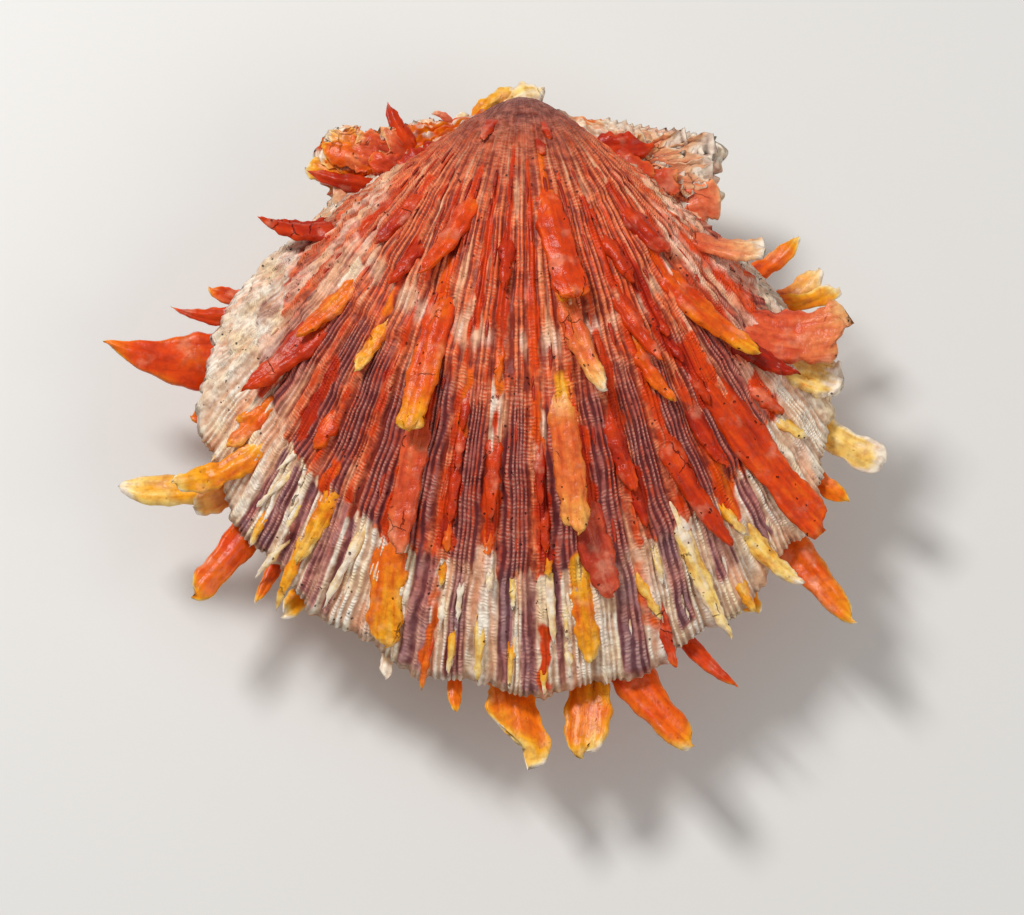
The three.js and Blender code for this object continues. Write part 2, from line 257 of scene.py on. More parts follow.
def growth_tree():
    """Turns each older rim about the hinge as it shrinks to the beak, and raises ribs, folds and lumps."""
    tree = new_tree(
        "grow_valve",
        {"Coiling Side": "Float", "Lump Height": "Float", "Lump Size": "Float", "Seed": "Float",
         "Lowest": "Float", "Highest": "Float", "Outside": "Material", "Inside": "Material"},
    )
    given = add(tree, "NodeGroupInput").node.outputs
    rim, beak = [add(tree, STORED, key, data_type="FLOAT_VECTOR") for key in ("rim", "beak")]
    coiling, growth, relief, inner = [
        add(tree, STORED, key, data_type="FLOAT") for key in ("coiling", "growth", "relief", "inner")
    ]
    offset = add(tree, VECTORS, rim, beak, operation="SUBTRACT")
    age = add(tree, MATHS, growth, math.e, operation="LOGARITHM")
    turn = add(tree, MATHS, age, coiling, operation="MULTIPLY")
    turn = add(tree, MATHS, turn, given["Coiling Side"], operation="MULTIPLY")
    turned = add(tree, "ShaderNodeVectorRotate", offset, None, turn, rotation_type="X_AXIS")
    shrunk = add(tree, VECTORS, turned, growth, operation="SCALE")
    place = add(tree, VECTORS, shrunk, beak, operation="ADD")
    spiral = add(tree, MOVE, given["Geometry"], None, place)

    position = add(tree, "GeometryNodeInputPosition")
    seeded = add(tree, VECTORS, position, given["Seed"], operation="ADD")
    scale = add(tree, MATHS, 1.0, given["Lump Size"], operation="DIVIDE")
    lumps = add(tree, NOISE, seeded, scale, 3.0, 0.55)
    lump = add(tree, MATHS, lumps, 0.5, operation="SUBTRACT")
    lump = add(tree, MATHS, lump, given["Lump Height"], operation="MULTIPLY")
    outer = add(tree, MATHS, 1.0, inner, operation="SUBTRACT")
    lump = add(tree, MATHS, lump, outer, operation="MULTIPLY")
    height = add(tree, MATHS, lump, relief, operation="ADD")
    push = add(tree, VECTORS, add(tree, "GeometryNodeInputNormal"), height, operation="SCALE")
    raised = add(tree, MOVE, spiral, None, None, push)

    x, y, z = add(tree, "ShaderNodeSeparateXYZ", position).node.outputs
    above = add(tree, MATHS, z, given["Lowest"], operation="MAXIMUM")
    kept = add(tree, MATHS, above, given["Highest"], operation="MINIMUM")
    held = add(tree, MOVE, raised, None, add(tree, "ShaderNodeCombineXYZ", x, y, kept))
    real = add(tree, "GeometryNodeRealizeInstances", add(tree, "GeometryNodeSetShadeSmooth", held))
    painted = add(tree, "GeometryNodeSetMaterial", real, None, given["Outside"])
    inside = add(tree, "FunctionNodeCompare", inner, 0.6, data_type="FLOAT", operation="GREATER_THAN")
    lined = add(tree, "GeometryNodeSetMaterial", painted, inside, given["Inside"])
    add(tree, "NodeGroupOutput", lined)
    return tree


RIM_COLUMNS = 1112
HINGE_COLUMNS = 88
# Rows of the outside, from the beak to the rim: how many points each has, and the sizes it spans.
OUTSIDE_ROWS = [(300, 0.03, 0.3, 30), (600, 0.3, 0.6, 34), (1200, 0.6, 1.0, 41)]
INSIDE_ROWS = 22


def rim_columns():
    """Where the rim's columns stand, with the angle and the run along the rim of each."""
    run = np.linspace(0, rim_reach[-1], RIM_COLUMNS)
    x = np.interp(run, rim_reach, rim_curve[:, 0])
    y = np.interp(run, rim_reach, rim_curve[:, 1])
    share = np.arange(1, HINGE_COLUMNS + 1) / (HINGE_COLUMNS + 1)
    hinge_x = x[-1] + (x[0] - x[-1]) * share
    angle = np.concatenate([np.degrees(np.arctan2(x, -y)), np.where(share < 0.5, 90.0, -90.0)])
    on_hinge = np.concatenate([0 * x, 1 + 0 * hinge_x])
    middle = np.interp(0, angle[:RIM_COLUMNS], run)
    run = np.concatenate([run - middle, rim_reach[-1] - middle + 72 * share])
    return (
        np.concatenate([x, hinge_x]), np.concatenate([y, HINGE_Y + 0 * hinge_x]), angle, run, on_hinge
    )


def hollow_columns(x, y):
    """The hollow's mouth beside each column of the rim, along a line from the middle of the shell."""
    centre_y = -50
    around = np.degrees(np.arctan2(hollow_curve[:, 0], -(hollow_curve[:, 1] - centre_y)))
    order = np.argsort(around)
    wanted = np.degrees(np.arctan2(x, -(y - centre_y)))
    return [np.interp(wanted, around[order], hollow_curve[order, axis], period=360) for axis in (0, 1)]


def riblets(run, growth):
    """The fine ribs: 0 in the grooves, 1 on the crests. New ones rise between the old as the rim widens."""
    place = run + 0.3 * np.sin(growth * 31 + run / 9) + 0.15 * np.sin(growth * 77 + run / 3)
    place = place + 0.55 * np.sin(run * 0.43) + 0.3 * np.sin(run * 1.07 + 1)
    waves = [np.cos(2 * np.pi * place / (RIBLET_PITCH * many)) for many in (4, 2, 1)]
    middle = ease(growth, 0.26, 0.36)
    late = ease(growth, 0.5, 0.62)
    wave = waves[0] * (1 - middle) + waves[1] * middle
    wave = 0.5 + 0.5 * (wave * (1 - late) + waves[2] * late)
    strength = 0.82 + 0.18 * np.sin(run * 1.9 + 1) * np.sin(run * 0.83)
    return wave * strength


def rib_profile(angle):
    """A narrow ridge on each rib that bears spines, and 1 on the broad band of riblets between two."""
    off = np.abs((angle - RIB_OFFSET + RIB_STEP / 2) % RIB_STEP - RIB_STEP / 2)
    return np.exp(-((off / 0.85) ** 2)), ease(off, 0.9, 1.9)


def valve_piece(name, valve, relief, marks, tree, values):
    """A whole valve: its outside from the beak to the rim, the edge, and the hollow inside."""
    x, y, angle, run, on_hinge = rim_columns()
    mouth_x, mouth_y = hollow_columns(x, y)
    rows = [(1, 1e-4, 0.0)]
    for count, low, high, steps in OUTSIDE_ROWS:
        sizes = np.geomspace(low, high, steps) if low < 0.1 else np.linspace(low, high, steps)
        rows += [(count, size, 0.0) for size in (sizes if high == 1.0 else sizes[:-1])]
    rows += [(1200, 1.0, 0.12), (1200, 1.0, 0.35), (600, 1.0, 0.65), (300, 1.0, 1.0)]
    rows += [(300, size, 1.0) for size in np.geomspace(0.97, 0.14, INSIDE_ROWS)]
    rows += [(1, 0.1, 1.0)]
    fields = {key: [] for key in ("rim", "beak", "coiling", "growth", "inner", "angle", "run", "hinge")}
    for count, size, inner in rows:
        pick = slice(None, None, len(x) // count) if count > 1 else slice(0, 1)
        px = x[pick] * (1 - inner) + mouth_x[pick] * inner
        py = y[pick] * (1 - inner) + mouth_y[pick] * inner
        # The youngest growth waves in and out by up to 0.9 mm, except on the ears.
        wave = 0.9 * np.sin(run[pick] / 3.3 + 1) * float(ease(size, 0.9, 1.0))
        frill = wave * (1 - inner) if inner < 1 else 0.0
        frill = frill * (1 - ease(np.abs(angle[pick]), 46, 58)) / np.hypot(px, py)
        px, py = px * (1 + frill), py * (1 + frill)
        pz = valve["side"] * VALVE_GAP / 2 + 0 * px
        wall = size < 1.0 and inner > 0
        beak = valve["hollow_beak"] if wall else valve["beak"]
        fields["rim"].append(np.stack([px, py, pz], -1))
        fields["beak"].append(np.tile(beak, (len(px), 1)))
        fields["coiling"].append(np.full(len(px), valve["hollow_coiling" if wall else "coiling"]))
        fields["growth"].append(np.full(len(px), size))
        fields["inner"].append(np.full(len(px), inner))
        fields["angle"].append(angle[pick])
        fields["run"].append(run[pick])
        fields["hinge"].append(on_hinge[pick])
    fields = {key: np.concatenate(parts) for key, parts in fields.items()}
    fields["rim"] = in_row_frame(fields["rim"])
    fields["beak"] = in_row_frame(fields["beak"])
    fields["relief"] = relief(fields) * MM
    fields.update(marks(fields))
    faces = joined_faces([count for count, _, _ in rows])
    if valve["side"] > 0:
        faces = [face[::-1] for face in faces]
    shown = {key: numbers for key, numbers in fields.items() if key not in ("angle", "hinge")}
    piece = make_piece(name, fields["rim"], faces, shown)
    # The valves meet in a flat plane, and the scar under the lower one is flat.
    meeting = (RIM_HEIGHT + valve["side"] * VALVE_GAP / 2) * MM
    lowest, highest = (meeting, 1.0) if valve["side"] > 0 else (0.0, meeting)
    held = {"Coiling Side": float(valve["side"]), "Seed": 0.0, "Lowest": lowest, "Highest": highest}
    return apply_tree(piece, tree, {**held, **values})


# Where growth paused: the size of the shell then, and the height of the step it left.
GROWTH_PAUSES = [(0.2, 0.25), (0.33, 0.3), (0.47, 0.4), (0.565, 0.4), (0.7, 0.3), (0.83, 0.6), (0.92, 0.35)]


def valve_relief(fields):
    """Heights in millimetres: spiny ribs, riblets on and between them, growth folds and frilled ears."""
    angle, growth, run = fields["angle"], fields["growth"], fields["run"]
    flank = 1 - ease(np.abs(angle), 54, 62)
    ridge, band = rib_profile(angle)
    height = (1.25 * ridge + 0.75 * band) * growth**0.8 * flank
    fine = 0.5 * riblets(run, growth) * ease(growth, 0.12, 0.42)
    height += fine * (1 - 0.75 * ease(np.abs(angle), 34, 50))
    wobble = 0.012 * np.sin(run / 7.0) + 0.006 * np.sin(run / 2.3 + 1)
    past = growth + wobble
    for pause, depth in GROWTH_PAUSES:
        step = ease(past, pause - 0.05, pause - 0.01) * (past < pause)
        height += depth * (step - 0.6 * bump_at(past, pause, 0.006))
    rough = ease(np.abs(angle), 36, 50) * ease(growth, 0.3, 0.5)
    height += 0.8 * rough * ((growth * 24 + 0.7 * np.sin(run * 0.37) + 0.25 * np.sin(run * 1.3)) % 1)
    ear = ease(np.abs(angle), 60, 66) * (1 - fields["hinge"])
    ear = ear * (1 - ease(np.abs(angle), 74, 82))
    folds = 0.8 * (0.5 + 0.5 * np.cos(2 * np.pi * growth * 10 + 0.6 * np.sin(run)))
    height += ear * (folds + 0.5 * np.cos(run * 2.1))
    outer = np.where(fields["inner"] > 0, np.where(growth < 1, 0, 1 - ease(fields["inner"], 0, 0.3)), 1)
    return height * outer * (1 - fields["hinge"])


def strokes(fields, rows):
    """Brush strokes along the ribs: how strong they are at each point, and the tone they leave there."""
    amount = 0 * fields["angle"]
    tone = amount + 0.35
    wander = 0.25 * np.sin(fields["growth"] * 70 + fields["angle"]) + 0.2 * np.sin(fields["growth"] * 163)
    for rib, start, end_rib, end, half_width, shade, strength in rows:
        share = np.clip((fields["growth"] - start) / (end - start), 0, 1)
        centre = rib + (end_rib - rib) * share
        off = (fields["angle"] - centre + wander) / half_width
        ends = ease(fields["growth"], start - 0.012, start + 0.012)
        ends = ends * (1 - ease(fields["growth"], end - 0.02, end + 0.01))
        weight = strength * (1 - 0.25 * ease(abs(rib), 28, 38)) * np.exp(-(off**4)) * ends
        tone = tone * (1 - weight) + shade * weight
        amount = 1 - (1 - amount) * (1 - weight)
    return amount, tone


# Where the colour turns to chalky white at the last growth pause: rib angle and size.
CHALK_EDGE = [
    (-90, 0.3), (-70, 0.5), (-60, 0.66), (-53, 0.76), (-48, 0.74), (-44, 0.75), (-34, 0.83), (-20, 0.835),
    (0, 0.83),
    (18, 0.825), (30, 0.84), (36, 0.84), (45, 0.78), (52, 0.84), (60, 0.88), (68, 0.6), (90, 0.3),
]
# Purple bands on the white margin: from and to angle, and the sizes they span.
PURPLE_BANDS = [
    (-24, -21.6, 0.82, 1.0), (-21.2, -20, 0.84, 1.0), (-12.3, -9.6, 0.82, 1.0), (-7.9, -5.7, 0.82, 1.0),
    (-2.6, -0.9, 0.82, 1.0), (-0.2, 1.6, 0.82, 1.0), (3.4, 4.3, 0.82, 1.0), (9.8, 12.6, 0.82, 1.0),
    (16, 18.1, 0.82, 0.98), (-33.2, -31.9, 0.84, 1.0), (-30.6, -28.8, 0.84, 1.0), (-27.6, -26.1, 0.84, 1.0),
    (21.5, 24.5, 0.83, 0.95), (27.5, 29.5, 0.84, 0.97), (33, 34.5, 0.86, 1.0),
]
# Cream rays on the older, coloured part.
PALE_RAYS = [
    (-5.5, -3, 0.8, 0.84), (-19.8, -18.2, 0.68, 0.87), (4.6, 5.6, 0.76, 0.86), (8.6, 10, 0.87, 1.0),
    (-41, -37.5, 0.52, 0.585), (-26.4, -24, 0.84, 0.93), (-4.9, -3.2, 0.55, 0.66), (2.1, 3.6, 0.6, 0.655),
]
# Orange and red streaks: rib and size at the start and at the end, half width, tone and strength.
FLAMES = [
    (-16.5, 0.24, -16.5, 0.32, 1.6, 0.3, 0.9), (-17.5, 0.4, -17, 0.48, 1.5, 0.45, 0.9),
    (-16, 0.5, -15.5, 0.66, 1.6, 0.32, 0.9),
    (-15.5, 0.7, -15.5, 0.85, 1.8, 0.4, 0.8), (8, 0.2, 8, 0.3, 1.6, 0.6, 0.8),
    (8, 0.36, 9, 0.46, 1.8, 0.9, 0.7),
    (6.5, 0.54, 6.5, 0.6, 1.6, 1.0, 0.6), (8, 0.62, 8, 0.76, 1.7, 0.3, 0.9),
    (6.5, 0.8, 6.5, 0.86, 1.3, 0.95, 0.8),
    (-9, 0.25, -9, 0.5, 1.0, 0.3, 0.8), (-4, 0.2, -4, 0.5, 1.2, 0.28, 0.8),
    (2.3, 0.22, 2.3, 0.55, 1.0, 0.35, 0.8),
    (-9, 0.55, -9, 0.66, 0.8, 0.6, 0.8), (-4, 0.55, -4, 0.6, 1.0, 0.65, 0.7),
    (2.3, 0.57, 2.5, 0.66, 0.8, 0.5, 0.8),
    (-9, 0.66, -9, 0.82, 0.9, 0.22, 0.95), (-4, 0.66, -4, 0.8, 1.1, 0.28, 0.9),
    (2.6, 0.66, 2.8, 0.82, 0.9, 0.2, 0.95),
    (14, 0.5, 14.5, 0.66, 1.2, 0.3, 0.8), (14.5, 0.7, 15.5, 0.8, 1.2, 0.25, 0.9),
    (20, 0.3, 20.5, 0.47, 1.3, 0.3, 0.8),
    (20.5, 0.5, 20.5, 0.7, 1.1, 0.35, 0.7), (26, 0.4, 27, 0.62, 1.6, 0.18, 0.8),
    (28.5, 0.6, 29, 0.72, 1.2, 0.2, 0.9),
    (32, 0.3, 33, 0.39, 1.8, 0.25, 0.8), (33, 0.42, 33.5, 0.52, 1.6, 0.45, 0.8),
    (38, 0.4, 39, 0.7, 2.0, 0.3, 0.7),
    (44, 0.5, 46, 0.78, 1.8, 0.4, 0.8), (-32, 0.66, -32, 0.82, 1.2, 0.2, 0.8),
    (-38, 0.6, -40, 0.72, 1.6, 0.55, 0.8),
    (-44.5, 0.35, -44.5, 0.52, 1.7, 0.3, 0.9), (-36, 0.3, -36, 0.42, 1.8, 0.35, 0.8),
    (-29, 0.4, -28, 0.5, 1.2, 0.28, 0.8),
    (-25.5, 0.78, -25.5, 0.85, 1.0, 0.5, 0.8), (-40, 0.68, -41, 0.86, 1.7, 0.35, 0.85),
    (-28, 0.5, -28, 0.56, 1.0, 0.7, 0.7),
    (-22, 0.3, -22, 0.45, 1.2, 0.3, 0.6), (31, 0.6, 31, 0.71, 1.5, 0.4, 0.8),
    (-23, 0.5, -22.5, 0.7, 1.0, 0.3, 0.5),
    (26, 0.78, 26, 0.9, 1.4, 0.5, 0.8), (37.5, 0.76, 38, 0.86, 1.8, 0.38, 0.9),
    (-5, 0.86, -4.5, 0.9, 0.8, 0.5, 0.5),
    (-9.4, 0.85, -9.4, 1.0, 0.6, 0.6, 0.6), (2.2, 0.9, 2.2, 1.0, 0.7, 0.45, 0.7),
    (13, 0.84, 13.5, 1.0, 0.9, 0.62, 0.5),
]


def crest_lines(fields, ridge, band):
    """1 on the crests of the riblets and 0 in the grooves between them; faint on the worn beak and flanks."""
    # The shell paint gives low values a darker groove colour, partly as painted shade in the grooves.
    lines = np.clip(riblets(fields["run"], fields["growth"]) * (0.3 + 0.7 * band) + 0.45 * ridge, 0, 1)
    clear = ease(fields["growth"], 0.1, 0.34) * (1 - 0.7 * ease(np.abs(fields["angle"]), 34, 50))
    return (0.5 + (lines - 0.5) * clear) * (1 - fields["hinge"])


def upper_marks(fields):
    """How chalky, purple and fiery the upper valve is at each point."""
    angle, growth = fields["angle"], fields["growth"]
    edge_angles, edge_sizes = zip(*CHALK_EDGE)
    wobble = 0.006 * np.sin(angle * 2.7) + 0.004 * np.sin(angle * 6.1 + 2)
    chalk = ease(growth + wobble - np.interp(angle, edge_angles, edge_sizes), -0.012, 0.012)
    pale = 0.46 * ease(np.abs(angle + 2), 22, 40) * ease(growth, 0.3, 0.46)
    chalk = np.maximum(chalk, np.maximum(pale, 0.5 * bump_at(growth, 0.5, 0.04)))
    for left, right, start, end in PALE_RAYS:
        ray = ease(angle, left - 0.5, left + 0.3) * (1 - ease(angle, right - 0.3, right + 0.5))
        ray = ray * ease(growth, start - 0.015, start + 0.015) * (1 - ease(growth, end - 0.01, end + 0.02))
        chalk = np.maximum(chalk, ray)
    ridge, band = rib_profile(angle)
    off = np.abs(angle + 2)
    onset = np.interp(off, (0, 15, 40, 60), (0.5, 0.48, 0.52, 0.6))
    wine = ease(growth, onset, onset + 0.16) * (0.3 + 0.6 * band) * (1 - 0.45 * ease(off, 26, 46))
    margin = ease(growth, 0.82, 0.835)
    wine = wine * (1 - margin)
    for left, right, start, end in PURPLE_BANDS:
        stripe = ease(angle, left - 0.3, left + 0.3) * (1 - ease(angle, right - 0.3, right + 0.3))
        stripe = 0.62 * stripe * ease(growth, start - 0.01, start + 0.01)
        wine = np.maximum(wine, stripe * (1 - ease(growth, end - 0.01, end + 0.01)))
    wine = np.maximum(wine, 0.75 * (1 - ease(growth, 0.08, 0.24)))
    flame, tone = strokes(fields, FLAMES)
    # The red along each rib is broken up, and fades on the flanks.
    count = np.round((angle - RIB_OFFSET) / RIB_STEP)
    broken = 0.5 + 0.5 * np.sin(growth * 37 + angle * 1.3) * np.sin(growth * 83 + count * 2.4)
    fiery = ridge * ease(growth, 0.16, 0.26) * (1 - margin) * (1 - ease(np.abs(angle), 50, 60))
    fiery = fiery * (0.25 + 0.5 * broken) * (1 - 0.5 * ease(np.abs(angle), 26, 40))
    flame = np.maximum(flame, fiery)
    chalk = chalk * (1 - wine * margin)
    ear = ease(np.abs(angle), 60, 66)
    mottle = 0.5 + 0.5 * np.sin(fields["run"] * 1.3 + growth * 20) * np.sin(growth * 43)
    flame = flame * (1 - ear) + ear * np.where(angle < 0, 0.35 + 0.5 * mottle, 0.1 + 0.35 * mottle)
    tone = tone * (1 - ear) + ear * np.where(angle < 0, 0.4 + 0.25 * mottle, 0.45 + 0.2 * mottle)
    wine, chalk = wine * (1 - ear), chalk * (1 - ear) + ear
    crest = crest_lines(fields, ridge, band)
    return {"chalk": chalk, "wine": wine, "blush": flame, "tone": tone, "crest": crest}


def lower_marks(fields):
    """The lower valve is mostly white, with orange-pink rays on every second rib and a yellow beak."""
    angle, growth = fields["angle"], fields["growth"]
    ridge, band = rib_profile(angle)
    rib = (0.5 + 0.5 * np.cos(2 * np.pi * (angle - RIB_OFFSET) / (2 * RIB_STEP))) ** 3
    flame = np.clip(rib * ease(growth, 0.3, 0.7) + 0.8 * (1 - ease(growth, 0.05, 0.3)), 0, 1) * 0.8
    flame = flame * (1 - ease(np.abs(angle), 60, 75) * 0.6)
    none = 0 * angle
    tone = 0.62 + 0.2 * (1 - growth) + none
    crest = crest_lines(fields, ridge, band)
    return {"chalk": 1 + none, "wine": none, "blush": flame, "tone": tone, "crest": crest}


# From the darkest red to cream, along the valves' streaks and up the spines.
FLAME_STOPS = [
    (0.0, colour("#4a0d08")), (0.2, colour("#ae2005")), (0.4, colour("#e04508")), (0.6, colour("#f1760f")),
    (0.75, colour("#f6a81c")), (0.88, colour("#f8d274")), (1.0, colour("#f7e8d0")),
]


def grown_calcite():
    """Calcite laid down in fine steps: satin, a light bead, partly painted highlight, where a growth step
    crosses a riblet.
    """
    paint = bpy.data.materials.new("grown_calcite")
    paint.use_nodes = True
    tree = paint.node_tree
    shader = tree.nodes["Principled BSDF"]
    read = {
        key: add(tree, "ShaderNodeAttribute", attribute_name=key, out="Fac")
        for key in ("chalk", "wine", "blush", "tone", "crest", "growth", "run")
    }
    where = add(tree, "ShaderNodeTexCoord", out="Object")
    # Streaks 1.3 mm wide and drifts 5 mm wide run along the ribs.
    along = add(
        tree, "ShaderNodeCombineXYZ", add(tree, MATHS, read["run"], 0.75, operation="MULTIPLY"),
        add(tree, MATHS, read["growth"], 9.0, operation="MULTIPLY"), 0.0,
    )
    streak = add(tree, NOISE, along, 1.0, 4.0)
    across = add(
        tree, "ShaderNodeCombineXYZ", add(tree, MATHS, read["run"], 0.22, operation="MULTIPLY"),
        add(tree, MATHS, read["growth"], 5.5, operation="MULTIPLY"), 5.0,
    )
    drift = add(tree, MATHS, add(tree, NOISE, across, 1.0, 5.0), 0.5, operation="SUBTRACT")
    patch = add(tree, NOISE, where, 1 / (6.25 * MM), 4.0)
    grain = add(tree, NOISE, where, 1 / (1.111 * MM), 3.0)
    # Growth steps about 0.6 mm apart.
    step = add(
        tree, MATHS, add(tree, NOISE, where, 1 / (2.381 * MM), 2.0), 16.0,
        add(tree, MATHS, read["growth"], 2 * math.pi * 178, operation="MULTIPLY"), operation="MULTIPLY_ADD",
    )
    bead = add(tree, MATHS, add(tree, MATHS, step, operation="SINE"), 0.5, 0.5, operation="MULTIPLY_ADD")
    crest = add(
        tree, MATHS, add(tree, MATHS, grain, 0.5, operation="SUBTRACT"), 0.5, read["crest"],
        operation="MULTIPLY_ADD",
    )
    crest = add(
        tree, MATHS,
        add(tree, MATHS, add(tree, NOISE, where, 1 / (3.846 * MM), 3.0), 0.5, operation="SUBTRACT"), 1.1,
        crest, operation="MULTIPLY_ADD",
    )
    crest = add(tree, RANGE, crest, 0.05, 0.7, **SMOOTH)
    # The light beads sit only on crests; their pale colour is partly painted highlight, partly the beads' own
    # paler colour.
    light = add(
        tree, MATHS, add(tree, MATHS, bead, crest, operation="MULTIPLY"),
        add(tree, RANGE, add(tree, NOISE, where, 1 / (3.03 * MM), 2.0), 0.35, 0.6, **SMOOTH),
        operation="MULTIPLY",
    )

    # Each blend by crest below gives the grooves the darker colour: partly the shell's own darker grooves,
    # partly painted shade in the grooves.
    rose = add(
        tree, BLEND, crest, colour("#8c2c1a"),
        add(
            tree, BLEND, add(tree, RANGE, streak, 0.42, 0.6, **SMOOTH), colour("#f27c48"),
            colour("#e44c12"), **COLOURS,
        ), **COLOURS,
    )
    # Pale bead colour, partly painted highlight.
    rose = add(
        tree, BLEND, add(tree, MATHS, light, 0.45, operation="MULTIPLY"), rose, colour("#ffbc90"),
        **COLOURS,
    )
    rose = add(
        tree, BLEND, add(tree, RANGE, drift, 0.06, 0.2, 0.0, 0.8, **SMOOTH), rose,
        add(tree, BLEND, crest, colour("#cc8560"), colour("#f8c89c"), **COLOURS), **COLOURS,
    )
    # On the last growth the wine is greyer and paler.
    last = add(tree, RANGE, read["growth"], 0.81, 0.85, **SMOOTH)
    wine = add(
        tree, BLEND, add(tree, RANGE, streak, 0.42, 0.62, **SMOOTH), colour("#ab5a50"), colour("#c44522"),
        **COLOURS,
    )
    # The darker groove colours of the wine are partly painted shade.
    wine = add(
        tree, BLEND, crest, add(tree, BLEND, last, colour("#642224"), colour("#6e4147"), **COLOURS),
        add(tree, BLEND, last, wine, colour("#a27a7c"), **COLOURS), **COLOURS,
    )
    # Pale bead colour, partly painted highlight.
    wine = add(
        tree, BLEND, add(tree, MATHS, light, 0.42, operation="MULTIPLY"), wine, colour("#e8b6a2"),
        **COLOURS,
    )
    # The tan grooves of the chalk are partly painted shade.
    chalk = add(
        tree, BLEND, crest, colour("#d2a888"),
        add(
            tree, BLEND, add(tree, RANGE, patch, 0.4, 0.65, **SMOOTH), colour("#fdf2e0"), colour("#fde2b8"),
            **COLOURS,
        ), **COLOURS,
    )
    chalk = add(
        tree, BLEND, add(tree, RANGE, drift, -0.02, 0.16, 0.0, 0.6, **SMOOTH), chalk, colour("#f3a070"),
        **COLOURS,
    )
    whitish = add(tree, MATHS, drift, 1.2, read["chalk"], operation="MULTIPLY_ADD")
    skin = add(tree, BLEND, add(tree, RANGE, whitish, 0.35, 0.65, **SMOOTH), rose, chalk, **COLOURS)
    winy = add(
        tree, MATHS,
        add(
            tree, MATHS, add(tree, MATHS, patch, 0.5, operation="SUBTRACT"), 0.6, read["wine"],
            operation="MULTIPLY_ADD",
        ), add(tree, MATHS, drift, 1.1, operation="MULTIPLY"), operation="SUBTRACT",
    )
    skin = add(tree, BLEND, add(tree, RANGE, winy, 0.2, 0.8, **SMOOTH), skin, wine, **COLOURS)
    # The worn beak is browner and darker than the rest.
    old = add(tree, RANGE, read["growth"], 0.1, 0.33, 1.0, 0.0, **SMOOTH)
    lump = add(tree, NOISE, where, 1 / (1.613 * MM), 4.0)
    skin = add(
        tree, BLEND, add(tree, MATHS, old, 0.8, operation="MULTIPLY"), skin,
        add(
            tree, BLEND, add(tree, RANGE, lump, 0.42, 0.6, **SMOOTH), colour("#682a1d"), colour("#a05c4c"),
            **COLOURS,
        ), **COLOURS,
    )
    hue = add(
        tree, "ShaderNodeValToRGB",
        add(
            tree, MATHS, add(tree, MATHS, streak, 0.5, operation="SUBTRACT"), 0.5, read["tone"],
            operation="MULTIPLY_ADD",
        ), stops=FLAME_STOPS,
    )
    flame = add(
        tree, MATHS, add(tree, MATHS, patch, 0.5, operation="SUBTRACT"), 0.9, read["blush"],
        operation="MULTIPLY_ADD",
    )
    skin = add(tree, BLEND, add(tree, RANGE, flame, 0.3, 0.62, **SMOOTH), skin, hue, **COLOURS)
    skin = add(
        tree, BLEND, add(tree, RANGE, grain, 0.3, 0.62, 0.27, 0.0, **SMOOTH), skin, colour("#4a1a16"),
        **COLOURS,
    )
    # Borers leave holes 0.3 to 0.6 mm across, in groups; their near-black colour is painted shade inside
    # them.
    bend = add(tree, NOISE, where, 1 / (1.429 * MM), 2.0, out="Color")
    bend = add(tree, VECTORS, bend, 1.1 * MM, operation="SCALE")
    bent = add(tree, VECTORS, where, bend, operation="ADD")
    cells = add(tree, "ShaderNodeTexVoronoi", bent, 1 / (1.613 * MM))
    hole = add(
        tree, MATHS, add(tree, RANGE, cells, 0.09, 0.18, 1.0, 0.0, **SMOOTH),
        add(tree, RANGE, add(tree, NOISE, where, 1 / (11.11 * MM), 2.0), 0.5, 0.58, **SMOOTH),
        operation="MULTIPLY",
    )
    # Painted shade: the pits turn near-black.
    skin = add(
        tree, BLEND, add(tree, MATHS, hole, 0.85, operation="MULTIPLY"), skin, colour("#2a0c0c"), **COLOURS,
    )
    tree.links.new(skin, shader.inputs["Base Color"])
    shader.inputs["Roughness"].default_value = 0.42
    shader.inputs["Specular IOR Level"].default_value = 0.2
    height = add(
        tree, MATHS,
        add(
            tree, MATHS, grain, 0.6, add(tree, MATHS, light, 0.7, operation="MULTIPLY"),
            operation="MULTIPLY_ADD",
        ), add(tree, MATHS, hole, 1.2, operation="MULTIPLY"), operation="SUBTRACT",
    )
    height = add(
        tree, MATHS, add(tree, MATHS, lump, old, operation="MULTIPLY"), 5.0, height,
        operation="MULTIPLY_ADD",
    )
    bump = add(tree, "ShaderNodeBump", 0.7, 0.25 * MM, None, height)
    tree.links.new(bump, shader.inputs["Normal"])
    return paint


def porcelain_lining():
    """The inside is laid down smooth and dense, so it looks glazed: white, with a coloured margin."""
    paint = bpy.data.materials.new("porcelain_lining")
    paint.use_nodes = True
    tree = paint.node_tree
    shader = tree.nodes["Principled BSDF"]
    cloud = add(tree, NOISE, add(tree, "ShaderNodeTexCoord", out="Object"), 1 / (16.67 * MM))
    tint = add(
        tree, "ShaderNodeValToRGB", cloud, stops=[(0.35, colour("#f3efe8")), (0.7, colour("#e6dccb"))],
    )
    tree.links.new(tint, shader.inputs["Base Color"])
    shader.inputs["Roughness"].default_value = 0.2
    shader.inputs["IOR"].default_value = 1.55
    return paint


calcite = grown_calcite()
porcelain = porcelain_lining()
valve_values = {"Lump Height": 1.1 * MM, "Lump Size": 5 * MM, "Outside": calcite, "Inside": porcelain}
tree = growth_tree()
upper = valve_piece("upper_valve_shell", UPPER, valve_relief, upper_marks, tree, valve_values)
lower = valve_piece("lower_valve_shell", LOWER, valve_relief, lower_marks, tree, valve_values)
for piece, node, slot in [(upper, "upper_valve", "upper_shell"), (lower, "lower_valve", "lower_shell")]:
    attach(piece, "root")
    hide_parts(node)

# ---------------------------------------------------------------------------------------------
# Spines of the upper valve: folded tongues of the same calcite, thrown up by the mantle's edge on the main
# ribs. Each one starts as a low ridge on its rib, lifts off, and turns to its own heading.
# ---------------------------------------------------------------------------------------------


